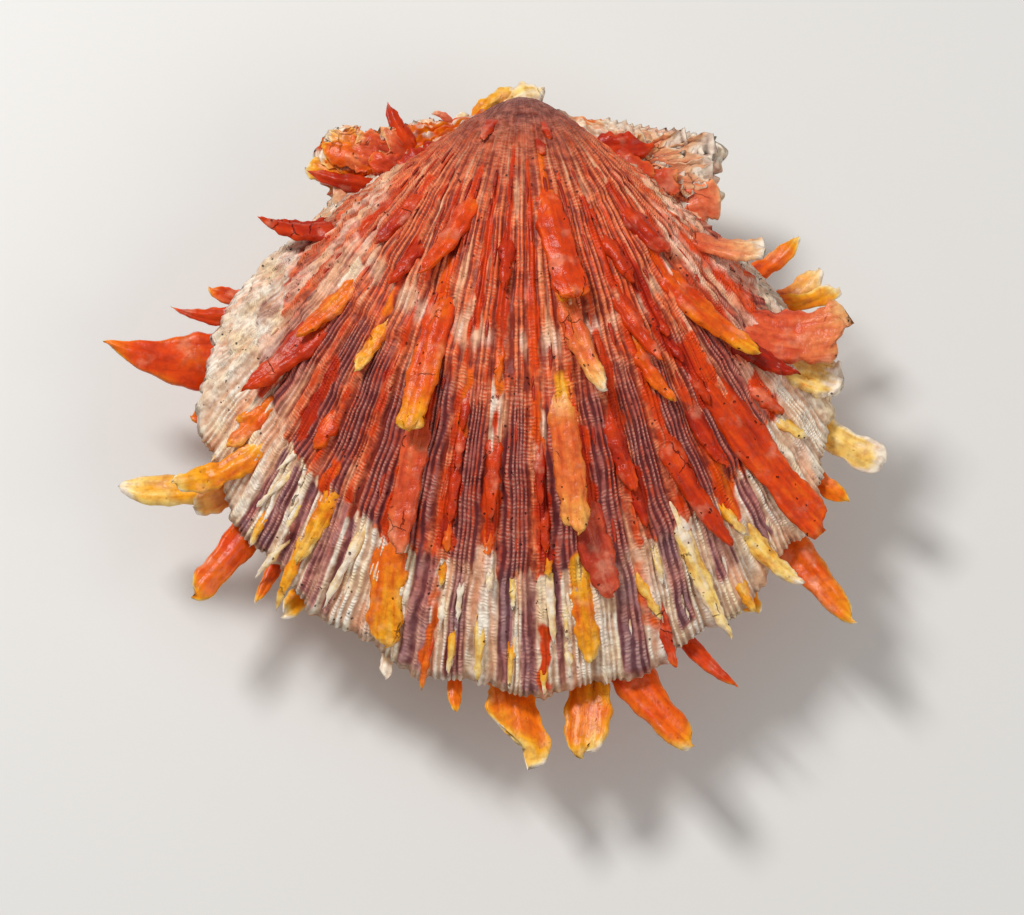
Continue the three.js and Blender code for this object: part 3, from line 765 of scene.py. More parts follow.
def tongue(
    points, facing, wide, thick, tip, square=2.0, lobes=0, peaks=0, lobe_depth=0.0, ragged=0.08, pleat=0.0,
    pink=0.0, worn=1.0, root=0.3, slant=0.0, tones=(0.3, 0.4, 0.5), edge=0.07, fine=False, sides=12,
    stations=15, seed=0,
):
    """One spine as rings of points: where they sit across and above its path, and how they are coloured."""
    if fine:
        sides, stations = 24, 38
    q = np.linspace(0, 1, stations)
    s = 0.55 * q + 0.45 * np.sin(q * np.pi / 2)
    cap_start = 0.86 if square > 3 else 0.78
    cap = (1 - np.clip((s - cap_start) / (1 - cap_start), 0, 1) ** square) ** (1 / square)
    random = np.random.default_rng(seed)
    shift = random.uniform(0, 6, 4)
    ripple = 1 + ragged * (np.sin(s * 17 + shift[0]) + 0.6 * np.sin(s * 41 + shift[1]))
    width = wide / 2 * (1 + (tip - 1) * s**1.5) * (root + (1 - root) * ease(s, -0.05, 0.34)) * cap * ripple
    depth = thick * (1 - 0.4 * s) * np.sqrt(cap) * (0.3 + 0.7 * ease(s, 0, 0.25))
    around = np.arange(sides) * 2 * np.pi / sides
    x = np.cos(around)
    dome = np.abs(np.sin(around)) ** 0.55
    furrow = 0.22 * np.cos(x * 5 + shift[2]) * (1 - x**2) + 0.1 * np.cos(x * 14 + shift[3]) * (1 - x**2)
    top = np.sin(around) > 0
    lift = np.where(top, dome + furrow, -0.32 * dome)
    side = width[:, None] * x
    lift = depth[:, None] * lift + pleat * np.cos(x * 13) * ease(s, 0.1, 0.6)[:, None] * cap[:, None]
    along = s[:, None] + 0 * side
    if peaks:
        wave = np.arcsin(np.abs(np.sin((x * peaks / 2 + 0.5) * np.pi / 2))) * 2 / np.pi
        along = along - lobe_depth * (1 - wave) * ease(s, 0.5, 1.0)[:, None]
    elif lobes:
        notch = np.abs(np.sin((x * lobes / 2 + shift[0]) * np.pi / 2)) ** 0.6
        along = along - lobe_depth * (1 - notch) * ease(s, 0.6, 1.0)[:, None]
    else:
        along = along - 0.03 * (x + 1) * np.sin(shift[1]) * ease(s, 0.7, 1.0)[:, None]
    along = along - slant * (1 + x) / 2 * ease(s, 0.35, 1.0)[:, None]
    place = np.interp(s, (0, 0.45, 1), tones)[:, None]
    rim = ease(np.abs(x), 0.72, 1.0)
    # Darker at both sides towards the foot: painted shade under the spine's sides.
    tone = place - 0.12 * x**2 * (1 - s[:, None]) + edge * rim * s[:, None]
    tone = tone + edge * ease(s, 0.88, 1.0)[:, None]
    rings = {"along": along, "side": side, "lift": lift, "tone": tone}
    flat = {}
    for key, ring in rings.items():
        first = ring[0].mean() if key in ("along", "tone") else 0.0
        last = ring[-1].mean() if key in ("along", "tone") else 0.0
        flat[key] = np.concatenate([[first], ring.ravel(), [last]])
    count = len(flat["along"])
    for key, point in zip(("start", "leave", "reach", "end"), points):
        flat[key] = np.tile(in_row_frame(point), (count, 1))
    flat["facing"] = np.tile(facing, (count, 1))
    for key in ("side", "lift"):
        flat[key] = flat[key] * MM
    # The tone, with its painted side shade, goes to the paint as shade.
    flat["shade"] = flat.pop("tone")
    flat["pink"] = np.full(count, float(pink))
    flat["worn"] = np.full(count, float(worn))
    return flat, [1] + [sides] * stations + [1]


def spine_tree():
    """Carries each point of the rings along its spine's path, and roughens the spine."""
    tree = new_tree(
        "sweep_spines",
        {"Lump Height": "Float", "Lump Size": "Float", "Seed": "Float", "Finish": "Material"},
    )
    given = add(tree, "NodeGroupInput").node.outputs
    start, leave, reach, end, facing = [
        add(tree, STORED, key, data_type="FLOAT_VECTOR")
        for key in ("start", "leave", "reach", "end", "facing")
    ]
    gone, side, lift = [add(tree, STORED, key, data_type="FLOAT") for key in ("along", "side", "lift")]
    left = add(tree, MATHS, 1.0, gone, operation="SUBTRACT")
    gone2 = add(tree, MATHS, gone, gone, operation="MULTIPLY")
    left2 = add(tree, MATHS, left, left, operation="MULTIPLY")

    # A cubic curve through the spine's four control points, and the way it heads at each place.
    near, far = [
        add(tree, MATHS, add(tree, MATHS, first, second, operation="MULTIPLY"), 3.0, operation="MULTIPLY")
        for first, second in ((left2, gone), (gone2, left))
    ]
    both = add(tree, MATHS, add(tree, MATHS, gone, left, operation="MULTIPLY"), 2.0, operation="MULTIPLY")
    curve = [
        (start, add(tree, MATHS, left2, left, operation="MULTIPLY")), (leave, near), (reach, far),
        (end, add(tree, MATHS, gone2, gone, operation="MULTIPLY")),
    ]
    heading = [
        (add(tree, VECTORS, after, before, operation="SUBTRACT"), weight)
        for before, after, weight in ((start, leave, left2), (leave, reach, both), (reach, end, gone2))
    ]
    sums = []
    for terms in (curve, heading):
        shares = [add(tree, VECTORS, point, weight, operation="SCALE") for point, weight in terms]
        total = shares[0]
        for share in shares[1:]:
            total = add(tree, VECTORS, total, share, operation="ADD")
        sums.append(total)
    place, pull = sums

    # Each ring stands square to the path.
    across = add(tree, VECTORS, pull, facing, operation="CROSS_PRODUCT")
    across = add(tree, VECTORS, across, operation="NORMALIZE")
    upward = add(tree, VECTORS, across, pull, operation="CROSS_PRODUCT")
    upward = add(tree, VECTORS, upward, operation="NORMALIZE")
    ring = add(
        tree, VECTORS, add(tree, VECTORS, across, side, operation="SCALE"),
        add(tree, VECTORS, upward, lift, operation="SCALE"), operation="ADD",
    )
    swept = add(tree, MOVE, given["Geometry"], None, add(tree, VECTORS, place, ring, operation="ADD"))
    seeded = add(tree, VECTORS, add(tree, "GeometryNodeInputPosition"), given["Seed"], operation="ADD")
    lumps = add(
        tree, NOISE, seeded, add(tree, MATHS, 1.0, given["Lump Size"], operation="DIVIDE"), 4.0, 0.65,
    )
    height = add(tree, MATHS, lumps, 0.5, operation="SUBTRACT")
    height = add(tree, MATHS, height, given["Lump Height"], operation="MULTIPLY")
    push = add(tree, VECTORS, add(tree, "GeometryNodeInputNormal"), height, operation="SCALE")
    rough = add(tree, MOVE, swept, None, None, push)
    real = add(tree, "GeometryNodeRealizeInstances", add(tree, "GeometryNodeSetShadeSmooth", rough))
    painted = add(tree, "GeometryNodeSetMaterial", real, None, given["Finish"])
    add(tree, "NodeGroupOutput", painted)
    return tree


# The same range where the red is thinned with white, as on the ears.
SALMON_STOPS = [
    (0.0, colour("#54191a")), (0.25, colour("#b33a26")), (0.45, colour("#dc6440")),
    (0.65, colour("#eb9268")),
    (0.82, colour("#f0bd95")), (1.0, colour("#f1e0cc")),
]


def spine_material():
    """Calcite folded into a spine: dense, waxy and glossier than the shell, veined along its length."""
    paint = bpy.data.materials.new("waxy_calcite")
    paint.use_nodes = True
    tree = paint.node_tree
    shader = tree.nodes["Principled BSDF"]
    read = {
        key: add(tree, "ShaderNodeAttribute", attribute_name=key, out="Fac")
        for key in ("shade", "along", "side", "pink", "worn")
    }
    where = add(tree, "ShaderNodeTexCoord", out="Object")
    # Noise that bends the pits and cracks out of shape.
    bend = add(tree, NOISE, where, 1 / (1.429 * MM), 2.0, out="Color")
    bend = add(tree, VECTORS, bend, 1.1 * MM, operation="SCALE")
    bent = add(tree, VECTORS, where, bend, operation="ADD")
    # Veins 1 mm apart across the spine, several times as long as wide.
    lengthways = add(
        tree, "ShaderNodeCombineXYZ",
        add(tree, MATHS, read["side"], 1 / (1.111 * MM), operation="MULTIPLY"),
        add(tree, MATHS, read["along"], 3.0, operation="MULTIPLY"), 0.0,
    )
    vein = add(tree, NOISE, lengthways, 1.0, 4.0)
    patch = add(tree, NOISE, where, 1 / (5.882 * MM), 3.0)
    grain = add(tree, NOISE, where, 1 / (1.25 * MM), 3.0)
    # The newer spines are smoother and plainer than the worn ones.
    plain = add(tree, RANGE, read["worn"], 0.3, 0.9, 0.45, 1.0, **SMOOTH)
    # Each spine's shade value is its tone, with painted shade along its sides near the foot.
    shade = add(
        tree, MATHS,
        add(tree, MATHS, add(tree, MATHS, vein, 0.5, operation="SUBTRACT"), 0.4, operation="MULTIPLY"),
        plain, read["shade"], operation="MULTIPLY_ADD",
    )
    shade = add(
        tree, MATHS, add(tree, MATHS, patch, 0.5, operation="SUBTRACT"), 0.4, shade,
        operation="MULTIPLY_ADD",
    )
    skin = add(tree, "ShaderNodeValToRGB", shade, stops=FLAME_STOPS)
    salmon = add(tree, "ShaderNodeValToRGB", shade, stops=SALMON_STOPS)
    skin = add(tree, BLEND, read["pink"], skin, salmon, **COLOURS)
    skin = add(
        tree, BLEND, add(tree, RANGE, vein, 0.3, 0.48, 0.3, 0.0, **SMOOTH), skin, colour("#9c2a10"),
        **COLOURS,
    )
    skin = add(
        tree, BLEND,
        add(tree, RANGE, add(tree, NOISE, where, 1 / (4.167 * MM), 4.0), 0.54, 0.72, 0.0, 0.3, **SMOOTH),
        skin, colour("#f9b792"), **COLOURS,
    )
    skin = add(
        tree, BLEND, add(tree, RANGE, grain, 0.35, 0.6, 0.3, 0.0, **SMOOTH), skin, colour("#8a2a12"),
        **COLOURS,
    )
    # Pits 0.3 to 0.6 mm across, in groups, and short hairline cracks; the pits' dark colour is painted shade
    # inside them.
    cells = add(tree, "ShaderNodeTexVoronoi", bent, 1 / (1.786 * MM))
    hole = add(
        tree, MATHS, add(tree, RANGE, cells, 0.08, 0.16, 1.0, 0.0, **SMOOTH),
        add(tree, RANGE, add(tree, NOISE, where, 1 / (6.667 * MM), 2.0), 0.5, 0.57, **SMOOTH),
        operation="MULTIPLY",
    )
    edges = add(tree, "ShaderNodeTexVoronoi", bent, 1 / (5.263 * MM), feature="DISTANCE_TO_EDGE")
    crack = add(
        tree, MATHS, add(tree, RANGE, edges, 0.006, 0.024, 1.0, 0.0, **SMOOTH),
        add(tree, RANGE, add(tree, NOISE, where, 1 / (9.091 * MM), 2.0), 0.61, 0.67, **SMOOTH),
        operation="MULTIPLY",
    )
    hole = add(
        tree, MATHS,
        add(tree, MATHS, hole, add(tree, MATHS, crack, 0.8, operation="MULTIPLY"), operation="MAXIMUM"),
        read["worn"], operation="MULTIPLY",
    )
    # The pits' dark colour is painted shade; the cracks are drawn as dark lines.
    skin = add(
        tree, BLEND, add(tree, MATHS, hole, 0.85, operation="MULTIPLY"), skin, colour("#5a1609"), **COLOURS,
    )
    tree.links.new(skin, shader.inputs["Base Color"])
    shader.inputs["Roughness"].default_value = 0.32
    shader.inputs["Specular IOR Level"].default_value = 0.25
    height = add(
        tree, MATHS,
        add(
            tree, MATHS, grain, 0.5, add(tree, MATHS, vein, 0.5, operation="MULTIPLY"),
            operation="MULTIPLY_ADD",
        ), add(tree, MATHS, hole, 1.5, operation="MULTIPLY"), operation="SUBTRACT",
    )
    bump = add(
        tree, "ShaderNodeBump", add(tree, MATHS, plain, 0.9, operation="MULTIPLY"), 0.6 * MM, None, height,
    )
    tree.links.new(bump, shader.inputs["Normal"])
    return paint


def spine_path(valve, rib, growth, long, heading, slope, lead=0.045, thick=1.0):
    """The four control points of a spine's path, and the way the shell faces at its foot."""
    here, forward, facing = outside_frame(valve, rib, growth)
    level = math.cos(math.radians(slope))
    turn = math.radians(heading)
    aim = np.array([level * math.sin(turn), -level * math.cos(turn), math.sin(math.radians(slope))])
    if valve["side"] < 0:
        forward = forward * (1, 1, 0)
    back = outside(valve, rib, max(growth - lead, 0.05))
    start = back - facing * 0.9 * thick
    leave = here + facing * 0.15 * thick
    reach = here + forward * 0.25 * long + aim * 0.35 * long
    return (start, leave, reach, here + aim * long), facing


def joined(parts):
    """Several ringed shapes as one set of values and faces."""
    values, faces, start = {}, [], 0
    for flat, counts in parts:
        faces += [[corner + start for corner in face[::-1]] for face in joined_faces(counts)]
        start += sum(counts)
        for key, numbers in flat.items():
            values.setdefault(key, []).append(numbers)
    return {key: np.concatenate(numbers) for key, numbers in values.items()}, faces


def spine_piece(name, parts, tree, finish, lump_height=1.7 * MM, lump_size=2.2 * MM):
    """All the spines of one kind, as one piece."""
    values, faces = joined(parts)
    piece = make_piece(name, values["start"], faces, values)
    values = {"Lump Height": lump_height, "Lump Size": lump_size, "Seed": 0.0, "Finish": finish}
    apply_tree(piece, tree, values)
    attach(piece, "root")
    return piece


# Rib, size at the foot, length, width, heading, slope, tip width, then the tones at foot, middle and tip.
UPPER_SPINES = [
    (-16.5, 0.32, 16, 4.6, -36, 12, 0.5, (0.45, 0.38, 0.33), {}),
    (-17, 0.48, 24, 5.6, -14, 3, 0.9, (0.5, 0.42, 0.66), {"lobes": 3, "lobe_depth": 0.07, "square": 4}),
    (-15.5, 0.66, 23, 5.4, -11, -10, 0.8, (0.42, 0.42, 0.46), {"square": 3, "pink": 0.5}),
    (-15.5, 0.85, 18, 7, -4, -19, 0.8, (0.55, 0.62, 0.7), {"ragged": 0.1, "square": 3}),
    (8, 0.3, 20, 5.5, 15, 15, 1.1, (0.5, 0.36, 0.4), {"square": 8}),
    (9, 0.46, 16, 5, 25, 7, 0.6, (0.7, 0.46, 0.85), {"square": 3, "pink": 0.4}),
    (6.3, 0.6, 22.5, 5.5, 7, -6, 0.95, (0.95, 0.5, 0.7),
     {"lobes": 2, "lobe_depth": 0.12, "square": 4, "pink": 0.3}),
    (8, 0.76, 14, 6.5, 20, -13, 0.8, (0.4, 0.3, 0.32), {"ragged": 0.1, "pink": 0.7}),
    (6.5, 0.86, 13, 5, 9, -20, 0.7, (0.9, 0.65, 0.75), {}),
    (-36, 0.37, 10, 4, -45, 0, 0.6, (0.35, 0.3, 0.25), {}),
    (-38, 0.58, 12, 5, -50, 0, 0.4, (0.65, 0.6, 0.5), {}),
    (-39, 0.68, 17, 7.5, -52, -5, 0.25, (0.42, 0.3, 0.33), {"root": 0.7, "square": 1.5}),
    (-36, 0.91, 15, 4.6, -70, 4, 0.95, (0.86, 0.66, 0.74), {"square": 3, "worn": 0.4, "edge": 0.12}),
    (-38.5, 0.85, 9, 4, -46, -8, 0.6, (0.6, 0.55, 0.6), {}),
    (-27, 0.56, 10, 3, -33, 6, 0.8, (0.7, 0.72, 0.75), {}),
    (-24.5, 0.84, 13, 4.5, -29, -18, 0.4, (0.85, 0.7, 0.8), {}),
    (-54.6, 0.68, 13, 7, -100, 18, 0.2, (0.32, 0.26, 0.3), {"root": 0.9, "square": 1.4, "ragged": 0.12}),
    (43, 0.76, 19, 10.5, 96, 6, 0.95, (0.46, 0.38, 0.62),
     {"lobes": 3, "lobe_depth": 0.1, "square": 4, "slant": 0.14, "pink": 0.6}),
    (47.4, 0.59, 12.9, 4.8, 83, 12, 1.5, (0.45, 0.5, 0.86),
     {"square": 4, "lobes": 2, "lobe_depth": 0.14, "pink": 0.7}),
    (44.8, 0.91, 8.5, 8, 80, 7, 0.9, (0.95, 0.9, 0.97), {"lobes": 3, "lobe_depth": 0.15, "square": 4}),
    (33, 0.39, 9, 4.7, 50, 2, 0.6, (0.3, 0.22, 0.25), {}),
    (33.5, 0.52, 20, 5.8, 52, -2, 0.5, (0.5, 0.45, 0.66), {}),
    (39, 0.71, 13, 5.5, 63, 2, 0.25, (0.2, 0.12, 0.2), {}),
    (20.5, 0.47, 14, 4, 34, 3, 0.5, (0.35, 0.35, 0.4), {}),
    (20.5, 0.56, 12, 3.6, 38, 2, 0.5, (0.9, 0.5, 0.55), {}),
    (20.5, 0.7, 23, 5, 34, -11, 0.5, (0.45, 0.35, 0.3), {}),
    (19, 0.82, 24, 4, 26, -14, 0.5, (1.0, 0.95, 0.88), {}),
    (26, 0.69, 13, 4, 33, -8, 0.6, (0.3, 0.25, 0.3), {}),
    (31, 0.71, 30, 7.5, 40, -13, 0.9, (0.38, 0.36, 0.42), {"square": 4}),
    (26.5, 0.93, 13, 4.5, 52, -5, 0.4, (0.8, 0.9, 0.9), {}),
    (13.5, 0.65, 12, 4, 20, -6, 0.6, (0.3, 0.25, 0.3), {}),
    (14.5, 0.93, 11, 2.8, 17, -12, 0.5, (0.35, 0.35, 0.4), {}),
]
# Smaller scales and horns: rib and size at the foot and under the tip, how high the tip stands, width, tones.
UPPER_SCALES = [
    (-9, 0.6, -9, 0.64, 1.5, 2.2, 0.15, 0.25), (-9, 0.65, -9, 0.7, 1.5, 2.2, 0.15, 0.2),
    (-9, 0.71, -9, 0.78, 1.8, 2.6, 0.12, 0.2), (-9, 0.79, -9, 0.82, 1.2, 2.2, 0.4, 0.5),
    (-9, 0.84, -9, 0.87, 1.0, 2.0, 0.6, 0.85), (-8.5, 0.89, -8.5, 0.94, 1.5, 1.6, 0.95, 1.0),
    (-9.5, 0.95, -9.5, 1.035, 2.0, 2.2, 0.35, 0.65), (-4, 0.66, -4, 0.76, 2.0, 3.6, 0.32, 0.4),
    (-4, 0.78, -4, 0.81, 1.2, 2.6, 0.5, 0.55), (-4, 0.82, -3.6, 0.86, 1.8, 2.2, 0.9, 1.0),
    (-4.3, 0.9, -4.3, 1.0, 2.2, 2.6, 0.85, 0.9), (-4, 0.52, -4, 0.565, 1.2, 2.2, 0.5, 0.55),
    (-4, 0.37, -4, 0.425, 1.8, 3.4, 0.12, 0.18), (-6.8, 0.85, -6.8, 0.92, 1.8, 1.6, 1.0, 1.0),
    (-7, 0.93, -7.2, 1.0, 2.0, 1.8, 0.7, 0.95), (-1, 0.84, -1, 0.885, 1.5, 1.6, 0.85, 1.0),
    (-1, 0.93, -1.2, 1.0, 2.0, 1.8, 0.55, 0.95), (2.5, 0.655, 2.3, 0.735, 1.8, 2.4, 0.22, 0.28),
    (2.8, 0.75, 2.8, 0.8, 1.5, 2.6, 0.2, 0.22), (3, 0.805, 3, 0.835, 1.2, 2.0, 0.5, 0.8),
    (3, 0.84, 3.2, 0.935, 2.0, 2.2, 0.9, 1.0), (2.2, 0.95, 2, 1.01, 2.0, 2.0, 0.35, 0.9),
    (4.5, 0.87, 4.6, 0.93, 1.5, 1.5, 0.95, 1.0), (4.6, 0.94, 4.6, 0.985, 1.5, 1.5, 0.95, 1.0),
    (14.5, 0.75, 15.3, 0.805, 1.8, 3.0, 0.25, 0.28), (15.5, 0.85, 15.5, 0.9, 1.5, 1.8, 0.95, 1.0),
    (13, 0.88, 14.5, 0.945, 2.0, 2.2, 0.8, 0.85), (-19, 0.85, -21, 1.0, 2.0, 2.4, 0.95, 1.0),
    (21, 0.325, 22, 0.36, 1.0, 1.6, 0.2, 0.3), (23, 0.4, 25, 0.475, 2.2, 3.8, 0.15, 0.2),
    (27, 0.55, 28, 0.58, 1.4, 2.4, 0.15, 0.2), (27.5, 0.6, 28.5, 0.63, 1.4, 2.4, 0.15, 0.2),
    (28.5, 0.665, 29.5, 0.715, 1.6, 2.8, 0.2, 0.22), (25, 0.86, 26.5, 0.925, 2.0, 2.6, 0.6, 0.95),
    (23.5, 0.97, 24, 1.03, 2.4, 3.0, 0.75, 0.8), (37, 0.79, 38.5, 0.87, 2.0, 4.0, 0.35, 0.45),
    (37.5, 0.87, 39.5, 0.95, 2.0, 3.0, 0.85, 0.95), (44, 0.9, 47, 1.06, 2.5, 3.4, 0.85, 0.9),
    (-27, 0.43, -30, 0.5, 2.2, 3.6, 0.2, 0.25), (-39, 0.87, -41, 0.92, 2.0, 3.4, 0.55, 0.65),
    (-31, 0.83, -32.5, 0.885, 1.8, 1.7, 0.95, 1.0), (-30.5, 0.87, -32.5, 0.96, 2.0, 1.8, 0.9, 1.0),
    (-29, 0.83, -29, 0.87, 1.5, 1.5, 0.95, 1.0), (-28.5, 0.86, -28.5, 0.92, 1.6, 1.6, 0.95, 1.0),
    (-28, 0.89, -28, 0.96, 1.8, 1.6, 0.9, 1.0), (-27.5, 0.96, -29, 1.05, 2.0, 1.8, 0.9, 1.0),
    (-31, 0.95, -31, 1.02, 2.0, 2.0, 0.5, 0.95), (-28.5, 0.75, -29, 0.8, 1.5, 4.4, 0.42, 0.45),
    (-21, 0.165, -21, 0.195, 1.5, 3.0, 0.2, 0.25), (14.5, 0.17, 14.5, 0.19, 0.8, 2.0, 0.1, 0.1),
    (9, 0.205, 9, 0.215, 0.6, 2.4, 0.15, 0.15), (-25.5, 0.93, -25.5, 1.06, 2.0, 3.0, 0.7, 0.8),
]
# Straight up as it looks from the front: up and a little towards the belly edge.
UPRIGHT = np.array([0.0, -0.24, 0.97])


def scale_path(valve, rib, growth, tip_rib, tip_growth, rise, thick):
    """A short spine's path from its foot to a point above another place on the shell."""
    here, forward, facing = outside_frame(valve, rib, growth)
    end = outside(valve, tip_rib, tip_growth) + UPRIGHT * rise
    span = np.linalg.norm(end - here)
    start = outside(valve, rib, growth - 0.03) - facing * 0.9 * thick
    leave = here + facing * 0.1 * thick
    reach = here + (end - here) * 0.5 + facing * 0.12 * span
    return (start, leave, reach, end), facing


sweep = spine_tree()
waxy_calcite = spine_material()
parts = []
for index, (rib, growth, long, wide, heading, slope, tip, tones, extra) in enumerate(UPPER_SPINES):
    thick = min(wide * 0.34, 2.0)
    points, facing = spine_path(UPPER, rib, growth, long, heading, slope, thick=thick)
    parts.append(tongue(points, facing, wide, thick, tip, tones=tones, fine=True, seed=index, **extra))
for index, (rib, growth, tip_rib, tip_growth, rise, wide, foot, end) in enumerate(UPPER_SCALES):
    thick = wide * 0.4
    points, facing = scale_path(UPPER, rib, growth, tip_rib, tip_growth, rise, thick)
    foot, end = max(foot, 0.27), max(end, 0.3)
    tones = (foot, (foot + end) / 2, end)
    parts.append(tongue(points, facing, wide, thick, 0.4, tones=tones, ragged=0.14, seed=100 + index))
spine_piece("upper_spines", parts, sweep, waxy_calcite)

# ---------------------------------------------------------------------------------------------
# Spines of the lower valve: longer and broader than the upper ones, thrown out level round the rim, with
# the worn stumps of older ones on the underside.
# ---------------------------------------------------------------------------------------------
LOWER_SPINES = [
    (-47.9, 0.87, 25, 14, -93, 8, 0.3, (0.44, 0.4, 0.42), {"root": 1.0, "square": 1.4}),
    (-36.5, 0.95, 22.5, 8.2, -85, 2, 0.6, (0.72, 0.72, 0.8), {"square": 2, "edge": 0.12}),
    (-36.5, 0.96, 10, 6, -60, 4, 0.9, (0.5, 0.66, 0.72), {"square": 3, "pink": 0.3}),
    (-32.1, 0.93, 22.5, 7, -38, 6, 0.7, (0.5, 0.42, 0.5), {"square": 3}),
    (-27.8, 0.95, 12, 3.2, -26, 6, 0.6, (0.6, 0.5, 0.6), {}),
    (-23.1, 0.9, 16, 4.6, -34, 16, 0.8, (0.85, 0.7, 0.72), {}),
    (-13.8, 0.95, 10, 2.6, -6, 8, 0.9, (0.9, 0.95, 1.0), {}),
    (-6.9, 0.95, 11.5, 3, 1, 8, 0.8, (0.6, 0.5, 0.55), {}),
    (-1.8, 0.92, 24, 6.6, 10, 8, 1.6, (0.26, 0.46, 0.66),
     {"square": 3, "slant": 0.3, "root": 0.85, "pleat": 0.4}),
    (7.4, 0.92, 22.5, 6.6, -5, 8, 1.35, (0.64, 0.66, 0.64),
     {"peaks": 2, "lobe_depth": 0.08, "square": 3, "root": 0.9, "pleat": 0.3}),
    (9.3, 0.94, 22.5, 9, 37, 7, 0.6, (0.42, 0.42, 0.54), {"square": 3, "root": 1.0}),
    (15.6, 0.94, 18.2, 4.7, 44, 6, 0.3, (0.8, 0.4, 0.3), {}),
    (23.7, 0.94, 9.5, 4.5, 32, 8, 0.9, (0.66, 0.62, 0.62), {}),
    (30.7, 0.91, 25.6, 7.5, 37, 7, 0.6, (0.45, 0.45, 0.6), {}),
    (37.5, 0.94, 12, 5, 50, 6, 0.5, (0.6, 0.5, 0.55), {}),
    (41.8, 0.92, 18.3, 5, 59, 6, 1.25, (0.5, 0.85, 0.88), {"square": 3}),
    (51.4, 0.94, 12.5, 3.6, 102, 0, 0.9, (0.5, 0.6, 0.72), {"square": 5}),
    (50.5, 0.9, 11.5, 4.6, 126, 5, 1.0, (0.55, 0.52, 0.82), {"square": 3, "edge": 0.1, "pink": 0.3}),
    (52.5, 0.88, 12.9, 4, 124, 5, 0.8, (0.45, 0.5, 0.6), {}),
    (-53, 0.93, 14, 5, -97, 3, 0.15, (0.42, 0.38, 0.36), {"root": 1.0, "square": 1.4}),
    (-53.6, 0.88, 10.5, 4, -103, 8, 0.7, (0.5, 0.4, 0.45), {}),
    (-44.2, 0.93, 7.5, 5, -75, 4, 0.7, (0.5, 0.38, 0.42), {}),
]
# The worn stumps stand on every second rib. Each heads out by 1.3 times its rib's angle.
OLD = {
    "first": -46, "last": 50, "step": 2 * int(RIB_STEP), "growth": 0.72, "long": 10, "fan": 1.3,
    "slope": -8, "wide": 4, "thick": 1.3, "tip": 0.4, "tones": (0.8, 0.75, 0.9),
}
parts = []
for index, (rib, growth, long, wide, heading, slope, tip, tones, extra) in enumerate(LOWER_SPINES):
    thick = min(wide * 0.34, 2.3)
    points, facing = spine_path(LOWER, rib, growth, long, heading, slope, thick=thick)
    extra = {"root": 0.65, "edge": 0.2, "worn": 0.35, **extra}
    parts.append(
        tongue(points, -facing, wide, thick, tip, tones=tones, fine=True, seed=200 + index, **extra),
    )
for rib in range(OLD["first"], OLD["last"] + 1, OLD["step"]):
    points, facing = spine_path(LOWER, rib, OLD["growth"], OLD["long"], rib * OLD["fan"], OLD["slope"])
    parts.append(
        tongue(points, facing, OLD["wide"], OLD["thick"], OLD["tip"], tones=OLD["tones"], seed=300 + rib),
    )
spine_piece("lower_spines", parts, sweep, waxy_calcite, lump_height=0.8 * MM, lump_size=2.8 * MM)

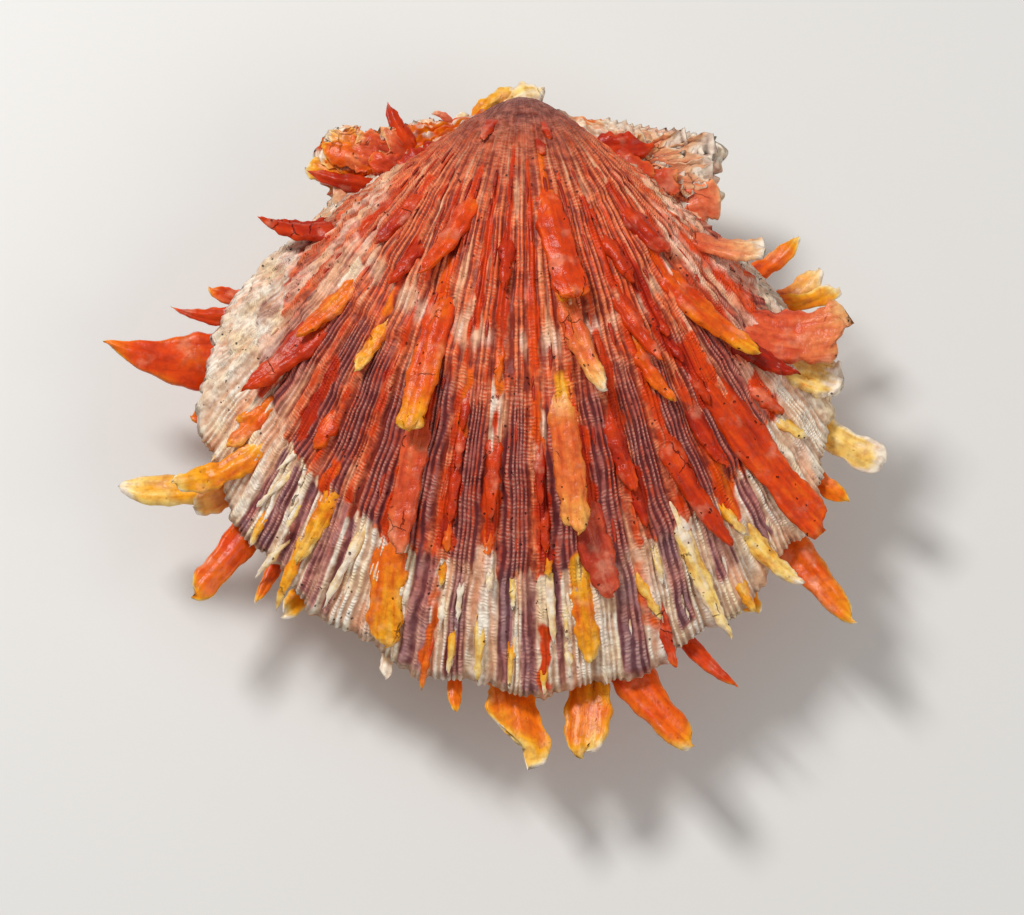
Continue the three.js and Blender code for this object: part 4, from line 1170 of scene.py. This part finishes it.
# ---------------------------------------------------------------------------------------------
# Frills: the ears beside the hinge are built of crumpled leaves of calcite, folded like a fan, with horns
# between them. Behind the beaks, the lower valve shows as pale knobs. All are grown on, not fixed.
# ---------------------------------------------------------------------------------------------
# Foot, end and bow in millimetres from the hinge axis, width, thickness, tip width, tones and shape.
FRILLS = [
    ((-26, -12, 0.5), (-35.4, -5.6, 2), (0, 0, 1), 7, 1.0, 1.3, (0.5, 0.56, 0.76),
     {"peaks": 3, "lobe_depth": 0.34, "pleat": 0.7, "square": 4, "slant": -0.2, "pink": 0.3}),
    ((-28, -12, 0.5), (-39.6, -10.4, 0.5), (0, 0, 0.5), 5.5, 1.2, 0.8, (0.5, 0.62, 0.7), {}),
    ((-24, -12, 2.5), (-36, -7.6, 3), (0, 0, 1.2), 4.4, 1.4, 1.0, (0.4, 0.5, 0.54), {"ragged": 0.12}),
    ((-20, -11.5, 2), (-31, -7.5, 4), (0, 0, 1), 6.5, 1.4, 1.2, (0.3, 0.32, 0.4),
     {"lobes": 3, "lobe_depth": 0.2, "ragged": 0.14, "square": 4, "pleat": 0.5, "pink": 0.5}),
    ((-19, -10.5, 2.5), (-26.4, -5.0, 4.5), (0, 0, 1), 5.0, 1.3, 1.2, (0.28, 0.32, 0.6),
     {"peaks": 2, "lobe_depth": 0.4, "square": 7, "ragged": 0.12, "pleat": 0.4, "pink": 0.6}),
    ((-18.5, -12.5, 3.5), (-28, -10.5, 4.6), (0, 0, 0.8), 4.4, 1.5, 0.9, (0.3, 0.28, 0.3),
     {"ragged": 0.14, "lobes": 3, "lobe_depth": 0.12, "pink": 0.3}),
    ((-25, -14.5, 2.5), (-39.2, -11.6, 2.8), (0, -1.4, 1), 4.2, 2.0, 0.3, (0.33, 0.3, 0.3),
     {"square": 1.5, "edge": 0.1}),
    ((-18.5, -10.5, 3.5), (-24.4, 1.0, 4), (-1.2, 0.4, 1), 4.4, 2.0, 0.2, (0.32, 0.3, 0.32),
     {"square": 1.5, "edge": 0.12}),
    ((-11.5, -5, 2.5), (-16.6, -0.8, 3), (0.6, 1.4, 0.5), 1.6, 0.8, 0.6, (0.2, 0.4, 0.8), {"pink": 1.0}),
    ((-13, -6.5, 1.5), (-19.4, -2.2, 2), (0, 0, 0.5), 4, 0.9, 1.1, (0.8, 0.85, 0.9),
     {"peaks": 2, "lobe_depth": 0.25, "pink": 0.8}),
    ((-13.5, -9, 5), (-21.5, -13, 6.6), (0, 0, 0.8), 6, 2.0, 0.9, (0.3, 0.22, 0.24),
     {"ragged": 0.14, "square": 3, "edge": 0.08}),
    ((-27, -15, 2), (-34.5, -18, 1.5), (0, 0, 1), 6.5, 1.0, 1.2, (0.45, 0.7, 0.85),
     {"lobes": 3, "lobe_depth": 0.2, "pleat": 0.3, "pink": 0.9}),
    ((-30, -8, 0.5), (-34, -2.8, 1), (0, 0, 0.5), 6, 0.9, 1.2, (0.7, 0.75, 0.85),
     {"peaks": 3, "lobe_depth": 0.3, "pleat": 0.4, "pink": 0.8}),
    ((19, -11.5, 2), (35.6, -8.4, 3), (0, 0, 1), 3.6, 0.9, 2.4, (0.4, 0.64, 0.76),
     {"peaks": 3, "lobe_depth": 0.3, "pleat": 0.8, "square": 9, "pink": 0.9}),
    ((17, -10.5, 2.5), (30.4, -7.4, 4), (0, 0, 1), 3.2, 0.9, 2.3, (0.36, 0.58, 0.74),
     {"peaks": 3, "lobe_depth": 0.35, "pleat": 0.7, "square": 8, "pink": 0.8}),
    ((16, -10, 3), (24.4, -7.0, 4.5), (0, 0, 1), 3, 1.0, 1.7, (0.3, 0.42, 0.66),
     {"peaks": 2, "lobe_depth": 0.35, "square": 6, "pleat": 0.5, "pink": 0.6}),
    ((20, -13, 2.5), (34.8, -13.2, 2.5), (0, 0, 1), 4, 0.9, 1.9, (0.45, 0.62, 0.8),
     {"peaks": 3, "lobe_depth": 0.25, "pleat": 0.7, "square": 8, "pink": 0.9}),
    ((27, -18.5, 1), (36.3, -16.6, 1.5), (0, 0, 0.6), 7, 1.5, 1.0, (0.45, 0.48, 0.6),
     {"square": 3, "pink": 0.8}),
    ((19, -13.2, 4), (29, -15, 5), (0, 0, 1), 3.4, 1.2, 1.6, (0.3, 0.26, 0.3),
     {"peaks": 2, "lobe_depth": 0.2, "square": 6, "pink": 0.4}),
    ((11, -9.6, 5), (21.4, -7.8, 6.4), (0, 0, 1), 6.5, 1.5, 0.7, (0.34, 0.24, 0.3),
     {"ragged": 0.12, "edge": 0.08, "square": 1.5, "root": 0.8, "slant": -0.2}),
    ((14, -10.5, 6), (24, -13.2, 6), (0, 0, 0.8), 4.6, 1.6, 0.7, (0.35, 0.3, 0.36),
     {"ragged": 0.12, "pink": 0.3, "square": 1.6}),
    ((12, -5.8, 1), (25, -4.8, 1.5), (0, 0, 0.5), 3, 0.8, 1.0, (0.8, 0.85, 0.85),
     {"ragged": 0.12, "pink": 0.7}),
    ((26, -17, 0.5), (31.6, -23, 1), (0, 0, 0.6), 6.5, 1.3, 0.8, (0.6, 0.62, 0.8), {"pink": 1.0}),
    ((8, -4.5, 0), (13.5, -2.6, 1), (0, 0, 0.5), 3, 1.6, 1.1, (0.55, 0.55, 0.6),
     {"lobes": 2, "lobe_depth": 0.2}),
    ((-11.5, -4.5, -3), (-9.6, 0.4, -2.5), (-1.2, 0, 0.5), 4, 2.4, 0.9, (0.9, 0.9, 0.9), {}),
    ((-9.5, -2.5, -3), (-1, 5, -3.5), (-1, 1.2, 0.6), 4.2, 2.6, 0.9, (0.66, 0.7, 0.8),
     {"square": 3, "ragged": 0.1}),
    ((-5, 0, -4), (3.8, 3.4, -3.2), (0.2, 2.2, 0.8), 6.5, 3.0, 0.85, (0.88, 0.92, 0.95),
     {"square": 3, "ragged": 0.12}),
]
parts = []
for index, (foot, end, bow, wide, thick, tip, tones, extra) in enumerate(FRILLS):
    foot, end, bow = np.array(foot, float), np.array(end, float), np.array(bow, float)
    points = (foot - UPRIGHT * thick, foot + (end - foot) / 3 + bow, foot + (end - foot) * 2 / 3 + bow, end)
    extra = {"edge": 0.2, "worn": 0.6, **extra}
    parts.append(
        tongue(points, UPRIGHT, wide, thick, tip, tones=tones, fine=True, seed=400 + index, **extra),
    )
spine_piece("hinge_frills", parts, sweep, waxy_calcite, lump_height=0.6 * MM, lump_size=1.6 * MM)

# ---------------------------------------------------------------------------------------------
# Prickles: low scales in rows on every rib and riblet, a few millimetres apart, left each time the mantle's
# edge paused. They take the colour of the shell round them, and stand out as points along both flanks.
# ---------------------------------------------------------------------------------------------
random = np.random.default_rng(7)
parts = []
for rib in np.arange(-61.0, 62.0, 3.0):
    between_ribs = abs((rib - RIB_OFFSET) % RIB_STEP) > 0.1
    for growth in np.arange(0.26, 1.0, 0.05):
        place = rib + random.uniform(-0.35, 0.35)
        size = growth + random.uniform(-0.015, 0.015)
        chalky = size > np.interp(place, *zip(*CHALK_EDGE))
        if random.random() < (0.8 if between_ribs and not chalky else 0.3):
            continue
        tone = random.uniform(0.88, 1.0) if chalky else random.uniform(0.1, 0.34)
        wide = random.uniform(0.9, 1.6) * (0.5 + 0.5 * size)
        reach = random.uniform(0.025, 0.05)
        tip_place = place + random.uniform(-0.4, 0.4)
        points, facing = scale_path(UPPER, place, size, tip_place, size + reach, 1.0, wide * 0.3)
        tones = (tone - 0.05, tone, min(tone + 0.1, 1))
        parts.append(tongue(points, facing, wide, wide * 0.34, 0.4, tones=tones,
                            pink=0.6, sides=6, stations=6, seed=len(parts) + 600))
spine_piece("prickles", parts, sweep, waxy_calcite, lump_height=0.2 * MM)

# ---------------------------------------------------------------------------------------------
# Stage: a pale floor, one lamp behind on the left, a softer one at the front, and a white sky. The camera
# looks down on the upper valve from the belly edge. None of this is part of the shell.
# ---------------------------------------------------------------------------------------------
floor_mesh = bpy.data.meshes.new("floor")
floor_mesh.from_pydata([(-2, -2, 0), (2, -2, 0), (2, 2, 0), (-2, 2, 0)], [], [(0, 1, 2, 3)])
floor = bpy.data.objects.new("floor", floor_mesh)
bpy.context.scene.collection.objects.link(floor)
floor_paint = bpy.data.materials.new("pale_floor")
floor_paint.use_nodes = True
floor_paint.node_tree.nodes["Principled BSDF"].inputs["Base Color"].default_value = colour("#dcdad6")
floor_mesh.materials.append(floor_paint)


def area_light(name, place, size, watts, target=(0, -0.03, 0.02)):
    """A square lamp that faces the shell."""
    data = bpy.data.lights.new(name, "AREA")
    data.size = size
    data.energy = watts
    light = bpy.data.objects.new(name, data)
    light.location = place
    light.rotation_mode = "QUATERNION"
    light.rotation_quaternion = (Vector(place) - Vector(target)).to_track_quat("Z", "Y")
    bpy.context.scene.collection.objects.link(light)


area_light("key_light", (-0.35, 0.35, 0.75), 0.2, 5.7)
area_light("fill_light", (0.7, -0.4, 0.7), 0.6, 2.6)
bpy.context.scene.view_settings.view_transform = "Standard"
world = bpy.data.worlds.new("studio")
bpy.context.scene.world = world
world.use_nodes = True
world.node_tree.nodes["Background"].inputs["Color"].default_value = colour("#ffffff")
world.node_tree.nodes["Background"].inputs["Strength"].default_value = 0.36

camera_data = bpy.data.cameras.new("camera")
camera_data.lens = 180
camera_data.sensor_width = 36
camera = bpy.data.objects.new("camera", camera_data)
bpy.context.scene.collection.objects.link(camera)
bpy.context.scene.camera = camera
elevation = math.radians(76)
view_width = 0.1843
distance = view_width * camera_data.lens / camera_data.sensor_width
target = Vector((-0.0018, SCAR_CENTRE * MM - 0.0648, RIM_HEIGHT * MM))
back = Vector((0, -math.cos(elevation), math.sin(elevation)))
camera.location = target + back * distance
camera.rotation_mode = "QUATERNION"
camera.rotation_quaternion = back.to_track_quat("Z", "Y")
camera_data.clip_end = 10
